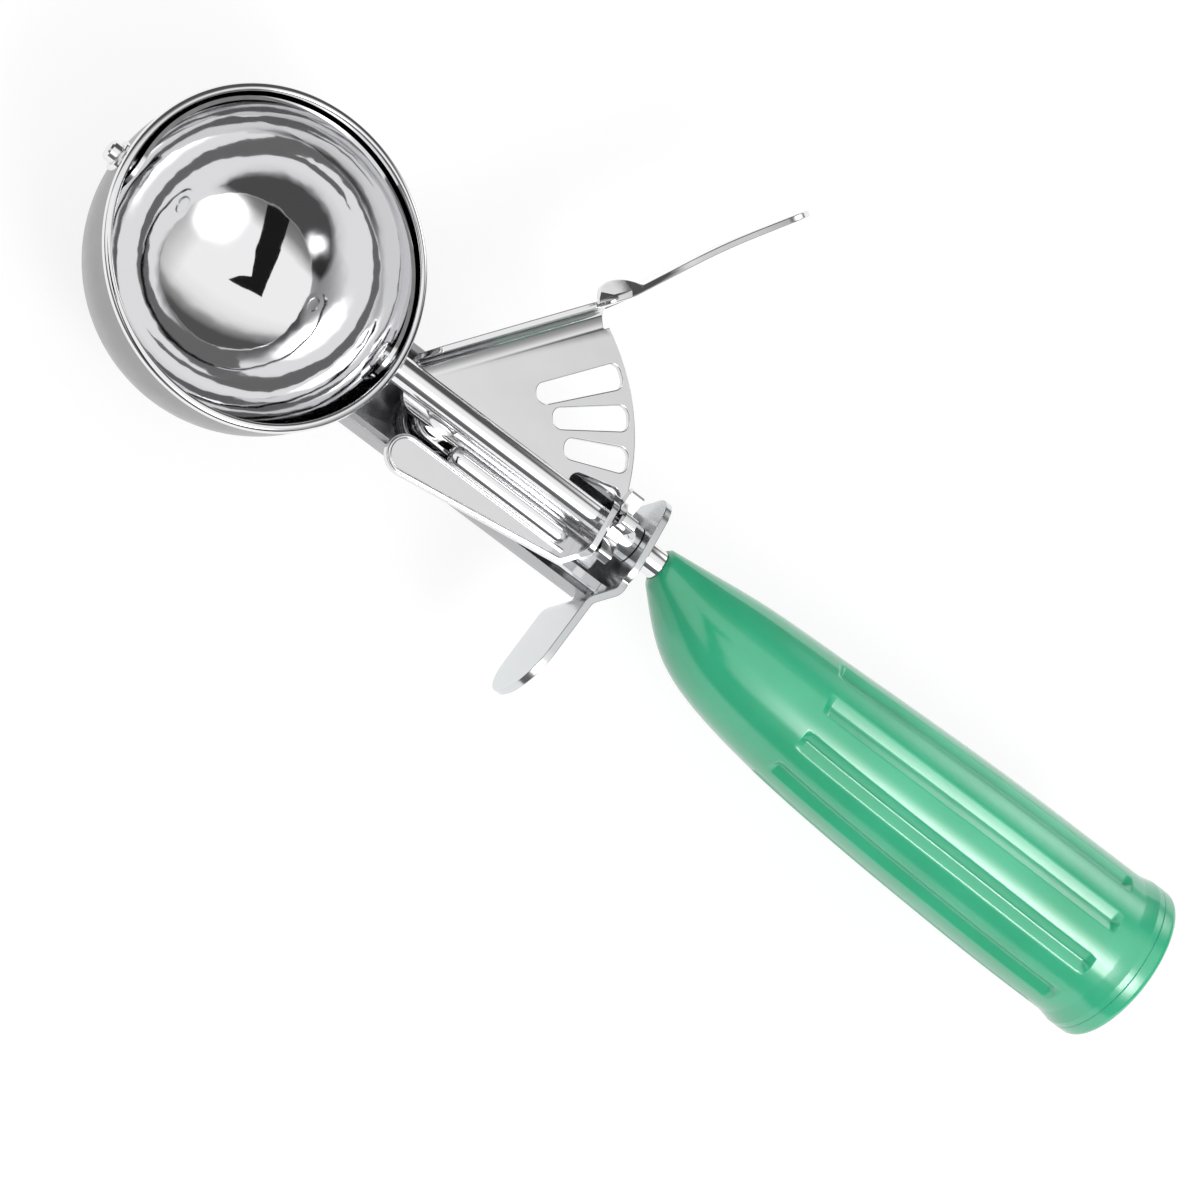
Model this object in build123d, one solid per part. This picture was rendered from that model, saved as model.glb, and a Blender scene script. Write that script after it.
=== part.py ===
from build123d import *
import os
from math import acos, asin, atan2, cos, degrees, hypot, pi, radians, sin, sqrt, tan

# Thumb-press ice cream disher, piece by piece, in millimetres.
# The stem axis is the X axis: the butt of the handle stands at X = 0 and the bowl lies at +X.
# +Z points out of the bowl's mouth, the thumb lever is on the -Y side, the finger rest on +Y.

# Fits
RUNNING_CLEARANCE = 0.05
ASSEMBLY_GAP = 0.03
AXIAL_PLAY = 0.15
CUT_OVERRUN = 5.0

# Bowl
BOWL_INNER_RADIUS = 28.0
BOWL_WALL = 1.1
BOWL_COLLAR_HEIGHT = 4.75
BOWL_LIP_PROJECTION = 0.45
BOWL_LIP_HEIGHT = 1.2

# Stem, from the guard's front face to the bowl's centre, and what lies along it
STEM_LENGTH = 82.0
FERRULE_LENGTH = 4.8
FERRULE_WALL = 0.5
SHAFT_RADIUS = 2.5
TAIL_RADIUS = 1.5
TAIL_DEPTH = 4.0
SHEET = 1.2

# Wiper
BLADE_CLEARANCE = 0.4
BLADE_THICKNESS = 0.7
BLADE_WIDTH = 10.0
BLADE_REST_ANGLE = 5.0
SPIGOT_RADIUS = 1.4
SPIGOT_HEAD_RADIUS = 2.6
SPIGOT_HEAD_THICKNESS = 0.8
TIP_PIN_RADIUS = 1.85
TIP_PIN_REACH = 2.6
TIP_PIN_CHAMFER = 0.35
BUSH_WALL = 0.5
BUSH_FLANGE_WIDTH = 0.45
BUSH_FLANGE_THICKNESS = 0.8

# Star pinion and its slotted sector
PINION_TEETH = 6
PINION_PITCH_RADIUS = 6.8
PINION_FACE = 2.6
PINION_ADDENDUM = 1.0
PINION_ROOT_DEPTH = 2.2
TOOTH_WIDTH = 2.4
TOOTH_TIP_ROUND = 0.7
HUB_LENGTH = 2.85
HUB_WALL = 1.1
CROSS_PIN_RADIUS = 0.7
CROSS_PIN_PROUD = 0.2
THRUST_WASHER_THICKNESS = 0.5
THRUST_WASHER_RADIUS = 3.6
END_WALL_GAP = 0.5

# Thumb lever; its slots and its flange follow the sector's size
SLOT_COUNT = 5
SLOT_WIDTH = 4.6
SLOT_INNER_WIDTH = 3.6
SLOT_CORNER = 1.7
SLOT_RADIAL_CLEARANCE = 0.9
SLOT_INNER_SHARE = 0.838
SLOT_STEP_SHARE = 0.0676
SECTOR_RIM = 1.2
SECTOR_TOE_REACH = 5.53
SECTOR_CORNER = 1.0
LEVER_HUB_RADIUS = 4.4
FLANGE_OFFSET = 11.4
FLANGE_PITCH_SHARE = 4.2
FLANGE_BEND = 4.5
FLANGE_HEEL = 2.3
FLANGE_HEEL_HEIGHT = 9.0
FLANGE_HEIGHT = 12.2
THUMB_ROOT = 6.0
THUMB_ROOT_TURN_ANGLE = 10.1
THUMB_ROOT_LENGTH = 20.0
THUMB_TIP_TURN_ANGLE = 5.1
THUMB_TIP_LENGTH = 22.0
THUMB_ROOT_BEND = 14.0
THUMB_BOW = 160.0
THUMB_WIDTH = 17.0
THUMB_TIP_ROUND = 8.0
THUMB_SHOULDER_ROUND = 3.0
THUMB_LIP_HEIGHT = 2.8
THUMB_LIP_LENGTH = 10.0
THUMB_LIP_REACH = 3.0

# Lever pivot and its return spring
PIVOT_BOWL_GAP = 14.1
PIVOT_RADIUS = 2.0
PIVOT_HEAD_RADIUS = 3.4
PIVOT_HEAD_THICKNESS = 0.7
PIVOT_WASHER_THICKNESS = 1.5
PIVOT_WASHER_RADIUS = 4.0
SPRING_SPACE = 6.1
SPRING_SLEEVE_WALL = 1.0
SPRING_WIRE_RADIUS = 0.5
SPRING_MEAN_RADIUS = 4.6
SPRING_TURNS = 3
SPRING_END_GAP = 0.25
SPRING_LEG = 8.0
SPRING_BEND_RADIUS = 1.2
SPRING_HOLE_CLEARANCE = 0.3
SPRING_LEVER_LEG_ANGLE = 25.0

# Shank channel behind the lever
SHANK_HALF_WIDTH = 9.0
SHANK_BEND = 2.4
SHANK_LEVER_GAP = 0.7
SADDLE_HALF_WIDTH = 6.5
SADDLE_DROP = 9.0

# Front plate, forked at the bowl end and turned up into the shaft's rear bearing
PRONG_HALF_WIDTH = 3.4
PRONG_REACH = 9.0
PRONG_ROUND = 3.2
NOTCH_WIDTH = 3.2
NOTCH_DEPTH = 8.0
NOTCH_ROUND = 1.4
LEAF_REACH = 6.4
LEAF_WIDTH = 7.8
LEAF_ROUND = 3.6
LEAF_ROUND_LIMIT_SHARE = 0.995
ARM_WIDTH = 1.7
ARM_PINION_GAP = 0.45
END_WALL_RISE = 4.6
END_WALL_ROUND = 2.0

# Guard and finger rest
GUARD_THICKNESS = 1.4
GUARD_THUMB_SIDE = 9.2
GUARD_TOP = 6.8
GUARD_FOOT = 0.7
GUARD_CORNER = 5.0
GUARD_FLAT = 10.0
GUARD_STEP_WIDTH = 4.5
GUARD_STEP = 3.8
GUARD_BEND_RADIUS = 3.0
FINGER_REST_REACH = 34.0
FINGER_REST_LEAN = 2.4
FINGER_REST_WIDTH = 17.0
FINGER_REST_DROP = 3.6
FINGER_REST_ROUND = 8.0

# Handle
GRIP_LENGTH = 111.8
GRIP_RADIUS = 14.6
GRIP_OFFSET = 7.5
NECK_WALL = 0.8
COLLAR_STAND = 0.6
COLLAR_LIP = 1.2
COLLAR_FLARE = 5.0
COLLAR_ROOT = 2.0
COLLAR_SINK = 0.25
COLLAR_SLOPE_SHARE = 0.08
GROOVE_COUNT = 10
GROOVE_WIDTH = 3.3
GROOVE_FLOOR = 1.5
GROOVE_DEPTH = 1.0
CAP_THICKNESS = 3.2
CAP_EDGE_ROUND = 1.3
CAP_SPIGOT_RADIUS = 11.0
CAP_SPIGOT_LENGTH = 4.0
# Evenly spaced sections from butt to neck: share of the swell over the neck, share of the offset
GRIP_SECTION_SHARES = [
    (1.0, 1.0),
    (1.0, 1.0),
    (0.995, 0.99),
    (0.982, 0.972),
    (0.962, 0.952),
    (0.935, 0.938),
    (0.90, 0.922),
    (0.858, 0.90),
    (0.805, 0.865),
    (0.735, 0.80),
    (0.63, 0.705),
    (0.41, 0.50),
    (0.0, 0.0),
]
GROOVE_STATIONS = (1, 5, 8)

# Tang through the handle, drawn tight by a nut under the end cap
TANG_RADIUS = 2.2
TANG_THREAD_RADIUS = 2.0
TANG_SHOULDER_DEPTH = 20.0
TANG_THREAD_PROUD = 1.2
NUT_ACROSS_FLATS = 7.0
NUT_THICKNESS = 3.2
NUT_WASHER_RADIUS = 4.4
NUT_WASHER_THICKNESS = 0.8
NUT_POCKET_GAP = 0.5

# Radii that follow from the fits
bowl_outer_radius = BOWL_INNER_RADIUS + BOWL_WALL
blade_outer_radius = BOWL_INNER_RADIUS - BLADE_CLEARANCE
blade_inner_radius = blade_outer_radius - BLADE_THICKNESS
hub_radius = SHAFT_RADIUS + HUB_WALL
tail_bore_radius = TAIL_RADIUS + RUNNING_CLEARANCE
ferrule_inner_radius = TANG_RADIUS + ASSEMBLY_GAP
neck_radius = ferrule_inner_radius + FERRULE_WALL + NECK_WALL
spring_hole_radius = SPRING_WIRE_RADIUS + SPRING_HOLE_CLEARANCE
nut_pocket_radius = NUT_WASHER_RADIUS + NUT_POCKET_GAP

# Places along the stem
guard_back_x = GRIP_LENGTH + FERRULE_LENGTH
guard_front_x = guard_back_x + GUARD_THICKNESS
bowl_x = guard_front_x + STEM_LENGTH
hub_start_x = guard_front_x + AXIAL_PLAY + THRUST_WASHER_THICKNESS
pinion_start_x = hub_start_x + HUB_LENGTH
pinion_end_x = pinion_start_x + PINION_FACE
pinion_mid_x = (pinion_start_x + pinion_end_x) / 2
end_wall_x = pinion_end_x + END_WALL_GAP
pivot_x = bowl_x - bowl_outer_radius - PIVOT_BOWL_GAP
tang_shoulder_x = CAP_THICKNESS + CAP_SPIGOT_LENGTH + TANG_SHOULDER_DEPTH
lever_local = Pos(pivot_x, 0, 0) * Rot(0, 0, 180)

# Gear sizes: the sector reaches from the pivot to the pinion, and its slots are one tooth apart
mesh_radius = pivot_x - pinion_mid_x
pinion_tip_radius = PINION_PITCH_RADIUS + PINION_ADDENDUM
pinion_root_radius = PINION_PITCH_RADIUS - PINION_ROOT_DEPTH
slot_pitch_angle = degrees(2 * pi * PINION_PITCH_RADIUS / (PINION_TEETH * mesh_radius))
slot_outer_radius = mesh_radius + PINION_FACE / 2 + SLOT_RADIAL_CLEARANCE
sector_radius = slot_outer_radius + SECTOR_RIM
sector_toe_angle = -degrees(asin(SECTOR_TOE_REACH / sector_radius))
flange_angle = FLANGE_PITCH_SHARE * slot_pitch_angle

# Levels through the stem, from the shaft down to the back of the shank
lever_top_z = -PINION_PITCH_RADIUS + SHEET / 2
lever_back_z = lever_top_z - SHEET
plate_back_z = lever_top_z + PIVOT_WASHER_THICKNESS
plate_front_z = plate_back_z + SHEET
web_front_z = lever_back_z - SPRING_SPACE
web_back_z = web_front_z - SHEET
flange_top_z = lever_back_z - SHANK_LEVER_GAP
guard_foot_z = web_back_z - GUARD_FOOT


def rod(start_x: float, end_x: float, radius: float) -> Part:
    """A cylinder on the stem axis."""
    return Pos((start_x + end_x) / 2, 0, 0) * Rot(0, 90, 0) * Cylinder(radius, end_x - start_x)


def post(bottom_z: float, top_z: float, radius: float) -> Part:
    """A cylinder along Z, on the origin."""
    return Pos(0, 0, (bottom_z + top_z) / 2) * Cylinder(radius, top_z - bottom_z)


def slab(outline: Sketch, bottom_z: float, top_z: float) -> Part:
    """A flat plate of the outline between two levels."""
    return Pos(0, 0, bottom_z) * extrude(outline, amount=top_z - bottom_z)


def polar(radius: float, angle: float) -> tuple:
    """A point of the lever's plan, at an angle from the stem towards the thumb."""
    return (radius * cos(radians(angle)), radius * sin(radians(angle)))


def corners_near(outline: Sketch, points: list) -> list:
    """The outline's vertices that stand at the given points."""
    return [outline.vertices().sort_by_distance((x, y, 0))[0] for x, y in points]


# Bowl and its two bearings

def bowl() -> Part:
    """Hemispherical shell with a short straight collar, a thin turned lip and two bearing holes."""
    inside = Sphere(BOWL_INNER_RADIUS) + post(0, BOWL_COLLAR_HEIGHT + CUT_OVERRUN, BOWL_INNER_RADIUS)
    near_hole = rod(-bowl_outer_radius - CUT_OVERRUN, 0, bush_outer_radius(SHAFT_RADIUS) + ASSEMBLY_GAP)
    far_hole = rod(0, bowl_outer_radius + CUT_OVERRUN, bush_outer_radius(TIP_PIN_RADIUS) + ASSEMBLY_GAP)
    return Pos(bowl_x, 0, 0) * (bowl_outside(0) - inside - near_hole - far_hole)


def bowl_outside(growth: float) -> Part:
    """The bowl's outer form, filled in and grown by a clearance, about its own centre."""
    radius = bowl_outer_radius + growth
    lip_radius = radius + BOWL_LIP_PROJECTION
    lip_foot = BOWL_COLLAR_HEIGHT - BOWL_LIP_HEIGHT - growth
    form = Sphere(radius) - post(0, radius + CUT_OVERRUN, radius + CUT_OVERRUN)
    form += post(0, BOWL_COLLAR_HEIGHT, radius)
    return form + post(lip_foot, BOWL_COLLAR_HEIGHT, lip_radius)


def bush_outer_radius(pin_radius: float) -> float:
    """Outside radius of the eyelet that carries a pin of the given radius."""
    return pin_radius + RUNNING_CLEARANCE + BUSH_WALL


def bearing_bush(pin_radius: float, side: int) -> Part:
    """Flanged eyelet in the bowl's wall, on the handle side (-1) or the far side (+1)."""
    sleeve_radius = bush_outer_radius(pin_radius)
    flange_radius = sleeve_radius + BUSH_FLANGE_WIDTH
    flange_face = bowl_outer_radius + BUSH_FLANGE_THICKNESS
    sleeve = rod(0, flange_face, sleeve_radius) - Sphere(BOWL_INNER_RADIUS)
    flange = rod(0, flange_face, flange_radius) - bowl_outside(ASSEMBLY_GAP)
    bore = rod(0, flange_face + CUT_OVERRUN, pin_radius + RUNNING_CLEARANCE)
    bush = sleeve + flange - bore
    turn = Rot(0, 0, 0) if side > 0 else Rot(0, 0, 180)
    return Pos(bowl_x, 0, 0) * turn * bush


# Wiper: blade, shaft, tip pin and star pinion

def wiper_blade() -> Part:
    """Thin band that follows the inside of the bowl from pole to pole, with a round eye at each."""
    shell = Sphere(blade_outer_radius) - Sphere(blade_inner_radius)
    reach = blade_outer_radius + CUT_OVERRUN
    band = Pos(0, -reach / 2, 0) * Box(2 * reach, reach, BLADE_WIDTH)
    eyes = rod(-reach, reach, BLADE_WIDTH / 2)
    holes = rod(-reach, reach, SPIGOT_RADIUS + ASSEMBLY_GAP)
    blade = shell & (band + eyes)
    return Pos(bowl_x, 0, 0) * Rot(BLADE_REST_ANGLE, 0, 0) * (blade - holes)


def riveted_end() -> Part:
    """Spigot through a blade eye with its head inside, for an end that points along +X."""
    head_end = SPIGOT_HEAD_THICKNESS - blade_inner_radius
    spigot = rod(-blade_outer_radius - ASSEMBLY_GAP, head_end, SPIGOT_RADIUS)
    head = rod(-blade_inner_radius, head_end, SPIGOT_HEAD_RADIUS)
    rim = head.edges().filter_by(GeomType.CIRCLE).sort_by(Axis.X)[-1]
    head = fillet(rim, SPIGOT_HEAD_THICKNESS / 2)
    return spigot + (head & Sphere(blade_inner_radius - ASSEMBLY_GAP))


def wiper_shaft() -> Part:
    """Round shaft from the bowl to the guard, with its tail journal and the riveted blade end."""
    shoulder_x = bowl_x - blade_outer_radius - ASSEMBLY_GAP
    shaft = rod(hub_start_x, shoulder_x, SHAFT_RADIUS)
    shaft += rod(guard_back_x - TAIL_DEPTH, hub_start_x, TAIL_RADIUS)
    shaft += Pos(bowl_x, 0, 0) * riveted_end()
    return shaft - cross_pin_hole()


def tip_pin() -> Part:
    """Pin that carries the blade's far end and stands out of the bowl's wall."""
    end = rod(blade_outer_radius + ASSEMBLY_GAP, bowl_outer_radius + TIP_PIN_REACH, TIP_PIN_RADIUS)
    edge = end.edges().filter_by(GeomType.CIRCLE).sort_by(Axis.X)[-1]
    pin = chamfer(edge, TIP_PIN_CHAMFER) + Rot(0, 0, 180) * riveted_end()
    return Pos(bowl_x, 0, 0) * pin


def cross_pin_place() -> Location:
    """Where the pinion's cross pin stands: the middle of the hub, square to the stem."""
    return Pos(hub_start_x + HUB_LENGTH / 2, 0, 0)


def cross_pin_hole() -> Part:
    """Cut for the cross pin through the hub and the shaft."""
    reach = hub_radius + CUT_OVERRUN
    return cross_pin_place() * post(-reach, reach, CROSS_PIN_RADIUS + ASSEMBLY_GAP)


def cross_pin() -> Part:
    """Pin that locks the pinion to the shaft."""
    reach = hub_radius + CROSS_PIN_PROUD
    return cross_pin_place() * post(-reach, reach, CROSS_PIN_RADIUS)


def pinion() -> Part:
    """Star wheel with rounded teeth and a short hub; one tooth points at the lever's sector."""
    star = Circle(pinion_root_radius)
    for index in range(PINION_TEETH):
        bar = Rectangle(pinion_tip_radius, TOOTH_WIDTH, align=(Align.MIN, Align.CENTER))
        tips = bar.vertices().sort_by(Axis.X)[-2:]
        tooth = fillet(tips, TOOTH_TIP_ROUND)
        star += Rot(0, 0, 360 * index / PINION_TEETH) * tooth
    wheel = Pos(pinion_start_x, 0, 0) * Rot(0, 90, 0) * extrude(star, amount=PINION_FACE)
    wheel += rod(hub_start_x, pinion_start_x, hub_radius)
    bore = rod(hub_start_x - CUT_OVERRUN, pinion_end_x + CUT_OVERRUN, SHAFT_RADIUS + ASSEMBLY_GAP)
    return wheel - bore - cross_pin_hole()


def thrust_washer() -> Part:
    """Washer between the pinion's hub and the guard."""
    washer = rod(guard_front_x + AXIAL_PLAY, hub_start_x, THRUST_WASHER_RADIUS)
    return washer - rod(guard_front_x, hub_start_x + CUT_OVERRUN, TAIL_RADIUS + ASSEMBLY_GAP)


# Thumb lever, drawn about its pivot with its own x axis towards the handle and y towards the thumb

def flange_point(along: float, inset: float) -> tuple:
    """A point of the lever's flange, a distance along it and a distance in from its outer face."""
    offset = FLANGE_OFFSET - inset
    turn = radians(flange_angle)
    return (along * cos(turn) - offset * sin(turn), along * sin(turn) + offset * cos(turn))


def arc_corner(inset: float) -> float:
    """How far along the flange the sector's arc lies, a distance in from the flange's outer face."""
    return sqrt(sector_radius ** 2 - (FLANGE_OFFSET - inset) ** 2)


def sector_plate() -> Part:
    """Fan-shaped plate with its hub, its radial slots and the two pivot and spring holes."""
    toe = polar(sector_radius, sector_toe_angle)
    top = flange_point(arc_corner(FLANGE_BEND), FLANGE_BEND)
    top_angle = degrees(atan2(top[1], top[0]))
    heel = flange_point(-FLANGE_HEEL, FLANGE_BEND)
    heel_angle = degrees(atan2(heel[1], heel[0]))
    hub_end_angle = sector_toe_angle - degrees(acos(LEVER_HUB_RADIUS / sector_radius))
    hub_start_angle = heel_angle + degrees(acos(LEVER_HUB_RADIUS / hypot(*heel)))
    hub_end = polar(LEVER_HUB_RADIUS, hub_end_angle)
    hub_start = polar(LEVER_HUB_RADIUS, hub_start_angle)
    hub_low = polar(LEVER_HUB_RADIUS, (hub_start_angle + hub_end_angle + 360) / 2)
    outline = make_face([
        Line(hub_end, toe),
        ThreePointArc(toe, polar(sector_radius, (sector_toe_angle + top_angle) / 2), top),
        Line(top, heel),
        Line(heel, hub_start),
        ThreePointArc(hub_start, hub_low, hub_end),
    ])
    outline = fillet(corners_near(outline, [toe]), SECTOR_CORNER)
    for index in range(SLOT_COUNT):
        outline -= Rot(0, 0, slot_pitch_angle * index) * slot(index)
    outline -= Circle(PIVOT_RADIUS + RUNNING_CLEARANCE)
    outline -= Pos(*spring_lever_hook()) * Circle(spring_hole_radius)
    return slab(outline, lever_back_z, lever_top_z)


def slot(index: int) -> Sketch:
    """One radial slot, wider at its outer end; each one further round reaches further in."""
    inner = mesh_radius * (SLOT_INNER_SHARE - SLOT_STEP_SHARE * index)
    shape = Polygon(
        (inner, -SLOT_INNER_WIDTH / 2),
        (slot_outer_radius, -SLOT_WIDTH / 2),
        (slot_outer_radius, SLOT_WIDTH / 2),
        (inner, SLOT_INNER_WIDTH / 2),
        align=None,
    )
    return fillet(shape.vertices(), SLOT_CORNER)


def lever_flange() -> Part:
    """Wall rolled up along the sector's upper edge, rising towards the thumb plate."""
    length = arc_corner(0)
    heel_top = lever_back_z + FLANGE_HEEL_HEIGHT
    corner_top = lever_back_z + FLANGE_HEIGHT
    bend_z = lever_back_z + FLANGE_BEND
    inner_bend = FLANGE_BEND - SHEET
    section = make_face([
        CenterArc((FLANGE_BEND, bend_z), FLANGE_BEND, 180, 90),
        Line((FLANGE_BEND, lever_back_z), (FLANGE_BEND, lever_top_z)),
        CenterArc((FLANGE_BEND, bend_z), inner_bend, 180, 90),
        Polyline((SHEET, bend_z), (SHEET, corner_top), (0, corner_top), (0, bend_z)),
    ])
    side = Polygon(
        (-FLANGE_HEEL, lever_back_z),
        (length, lever_back_z),
        (length, corner_top),
        (0, heel_top),
        (-FLANGE_HEEL, bend_z),
        align=None,
    )
    turn = radians(flange_angle)
    along = (cos(turn), sin(turn), 0)
    inward = (sin(turn), -cos(turn), 0)
    backward = (-cos(turn), -sin(turn), 0)
    end_plane = Plane(origin=(*flange_point(length, 0), 0), x_dir=inward, z_dir=backward)
    side_plane = Plane(origin=(*flange_point(0, 0), 0), x_dir=along, z_dir=inward)
    rolled = extrude(end_plane * section, amount=length + FLANGE_HEEL)
    return rolled & extrude(side_plane * side, amount=FLANGE_BEND, both=True)


def thumb_line() -> Wire:
    """Plan of the thumb plate: out from the flange's wall, then bowed back towards its tip."""
    first = arc_corner(0) - THUMB_ROOT
    root = flange_point(arc_corner(0), SHEET / 2)
    rise = polar(THUMB_ROOT_LENGTH, flange_angle + THUMB_ROOT_TURN_ANGLE)
    middle = (root[0] + rise[0], root[1] + rise[1])
    run = polar(THUMB_TIP_LENGTH, flange_angle + THUMB_TIP_TURN_ANGLE)
    tip = (middle[0] + run[0], middle[1] + run[1])
    bends = [THUMB_ROOT_BEND, THUMB_BOW]
    return FilletPolyline(flange_point(first, SHEET / 2), root, middle, tip, radius=bends)


def thumb_plate() -> Part:
    """Bowed plate that carries on from the flange, with round corners and a low lip in front."""
    middle_z = lever_back_z + FLANGE_HEIGHT / 2
    low_z = middle_z - THUMB_WIDTH / 2
    high_z = middle_z + THUMB_WIDTH / 2
    plate = slab(trace(thumb_line(), SHEET), low_z, high_z)
    for end, radius in ((-1, THUMB_TIP_ROUND), (0, THUMB_SHOULDER_ROUND)):
        ends = plate.faces().filter_by(lambda face: abs(face.area - SHEET * THUMB_WIDTH) < SHEET)
        face = ends.sort_by_distance((0, 0, middle_z))[end]
        plate = fillet(face.edges().filter_by(Axis.Z, reverse=True), radius)
    return plate + slab(thumb_lip(), high_z - SHEET, high_z)


def thumb_lip() -> Sketch:
    """Plan of a low lip at the root of the thumb plate: a shallow bow on its outer side."""
    last = arc_corner(0) + THUMB_LIP_REACH
    first = last - THUMB_LIP_LENGTH
    crown = flange_point((first + last) / 2, -THUMB_LIP_HEIGHT)
    ends = (flange_point(first, SHEET / 2), flange_point(last, SHEET / 2))
    return make_face([Line(ends[1], ends[0]), ThreePointArc(ends[0], crown, ends[1])])


def thumb_lever() -> Part:
    """The whole lever, pressed from one sheet: sector, flange and thumb plate."""
    return lever_local * (sector_plate() + lever_flange() + thumb_plate())


# Lever pivot and return spring

def pivot_rivet() -> Part:
    """Rivet that ties the front plate to the shank and carries the lever."""
    rivet = post(web_back_z, plate_front_z, PIVOT_RADIUS)
    rivet += post(plate_front_z, plate_front_z + PIVOT_HEAD_THICKNESS, PIVOT_HEAD_RADIUS)
    rivet += post(web_back_z - PIVOT_HEAD_THICKNESS, web_back_z, PIVOT_HEAD_RADIUS)
    rims = rivet.edges().filter_by(GeomType.CIRCLE).sort_by(Axis.Z)
    rivet = fillet([rims[0], rims[-1]], PIVOT_HEAD_THICKNESS / 2)
    return Pos(pivot_x, 0, 0) * rivet


def pivot_washer() -> Part:
    """Spacer between the front plate and the lever."""
    washer = post(lever_top_z + AXIAL_PLAY, plate_back_z, PIVOT_WASHER_RADIUS)
    return Pos(pivot_x, 0, 0) * (washer - post(web_back_z, 0, PIVOT_RADIUS + ASSEMBLY_GAP))


def spring_sleeve() -> Part:
    """Sleeve that holds the lever off the shank and carries the spring's coil."""
    outer = PIVOT_RADIUS + ASSEMBLY_GAP + SPRING_SLEEVE_WALL
    sleeve = post(web_front_z, lever_back_z - AXIAL_PLAY, outer)
    return Pos(pivot_x, 0, 0) * (sleeve - post(web_back_z, 0, PIVOT_RADIUS + ASSEMBLY_GAP))


def spring_lever_hook() -> tuple:
    """Plan place of the hole in the lever that takes the spring's upper end."""
    leg = radians(SPRING_LEVER_LEG_ANGLE)
    foot = (SPRING_MEAN_RADIUS * sin(leg), -SPRING_MEAN_RADIUS * cos(leg))
    reach = SPRING_LEG + SPRING_BEND_RADIUS
    return (foot[0] + reach * cos(leg), foot[1] + reach * sin(leg))


def spring_shank_hook() -> tuple:
    """Plan place of the hole in the shank's web that takes the spring's lower end."""
    return (SPRING_LEG + SPRING_BEND_RADIUS, SPRING_MEAN_RADIUS)


def coil_points() -> list:
    """Quarter-turn stations of the coil, each a place and a direction, from the web up to the lever."""
    low_z = web_front_z + SPRING_END_GAP + SPRING_WIRE_RADIUS
    high_z = lever_back_z - SPRING_END_GAP - SPRING_WIRE_RADIUS
    start = 90.0
    sweep_angle = 360.0 * (SPRING_TURNS - 1) + 180.0 + SPRING_LEVER_LEG_ANGLE
    count = 4 * SPRING_TURNS
    rise = (high_z - low_z) / radians(sweep_angle)
    stations = []
    for index in range(count + 1):
        share = index / count
        angle = radians(start + sweep_angle * share)
        level = 0 if index in (0, count) else rise
        across, aside = SPRING_MEAN_RADIUS * cos(angle), SPRING_MEAN_RADIUS * sin(angle)
        place = Vector(across, aside, low_z + (high_z - low_z) * share)
        heading = Vector(-aside, across, level)
        stations.append((place, heading.normalized()))
    return stations


def biarc(first: tuple, last: tuple) -> list:
    """Two tangent arcs from one station to the next."""
    (start, start_heading), (end, end_heading) = first, last
    chord = end - start
    both = start_heading + end_heading
    bend = 2 * (1 - start_heading.dot(end_heading))
    along = chord.dot(both)
    reach = (sqrt(along ** 2 + bend * chord.dot(chord)) - along) / bend
    joint = (start + start_heading * reach + end - end_heading * reach) * (1 / 2)
    first_arc = Edge.make_tangent_arc(start, start_heading, joint)
    return [first_arc, Edge.make_tangent_arc(joint, first_arc % 1, end)]


def hooked_leg(place: Vector, outward: Vector, hook: Vector, end_z: float) -> list:
    """Straight leg from the coil, then a square bend along Z to the hook's end."""
    bend_start = place + outward * SPRING_LEG
    bend_end = bend_start + outward * SPRING_BEND_RADIUS + hook * SPRING_BEND_RADIUS
    tip = Vector(bend_end.X, bend_end.Y, end_z)
    leg = Edge.make_line(place, bend_start)
    bend = Edge.make_tangent_arc(bend_start, outward, bend_end)
    return [leg, bend, Edge.make_line(bend_end, tip)]


def return_spring() -> Part:
    """Torsion spring of round wire round the sleeve, hooked into the shank and into the lever."""
    stations = coil_points()
    low_place, low_heading = stations[0]
    high_place, high_heading = stations[-1]
    edges = hooked_leg(low_place, -low_heading, Vector(0, 0, -1), web_back_z)
    for first, last in zip(stations[:-1], stations[1:]):
        edges += biarc(first, last)
    edges += hooked_leg(high_place, high_heading, Vector(0, 0, 1), lever_top_z)
    path = Wire(edges)
    tip = edges[2].position_at(1)
    section = Plane(origin=tip, z_dir=(0, 0, 1)) * Circle(SPRING_WIRE_RADIUS)
    print(f"return_spring least gap to itself {spring_gap(path):.2f} mm")
    return lever_local * sweep(section, path=path)


def spring_gap(path: Wire) -> float:
    """Least clear distance of the spring to itself, past half a turn along its wire."""
    apart = pi * SPRING_MEAN_RADIUS
    step = SPRING_WIRE_RADIUS / 2
    count = int(path.length / step)
    places = [path.position_at(index / count) for index in range(count + 1)]
    skip = int(apart / step)
    gaps = [
        (places[last] - places[first]).length
        for first in range(count + 1)
        for last in range(first + skip, count + 1)
    ]
    return min(gaps) - 2 * SPRING_WIRE_RADIUS


# Frame: shank, front plate, guard

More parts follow.
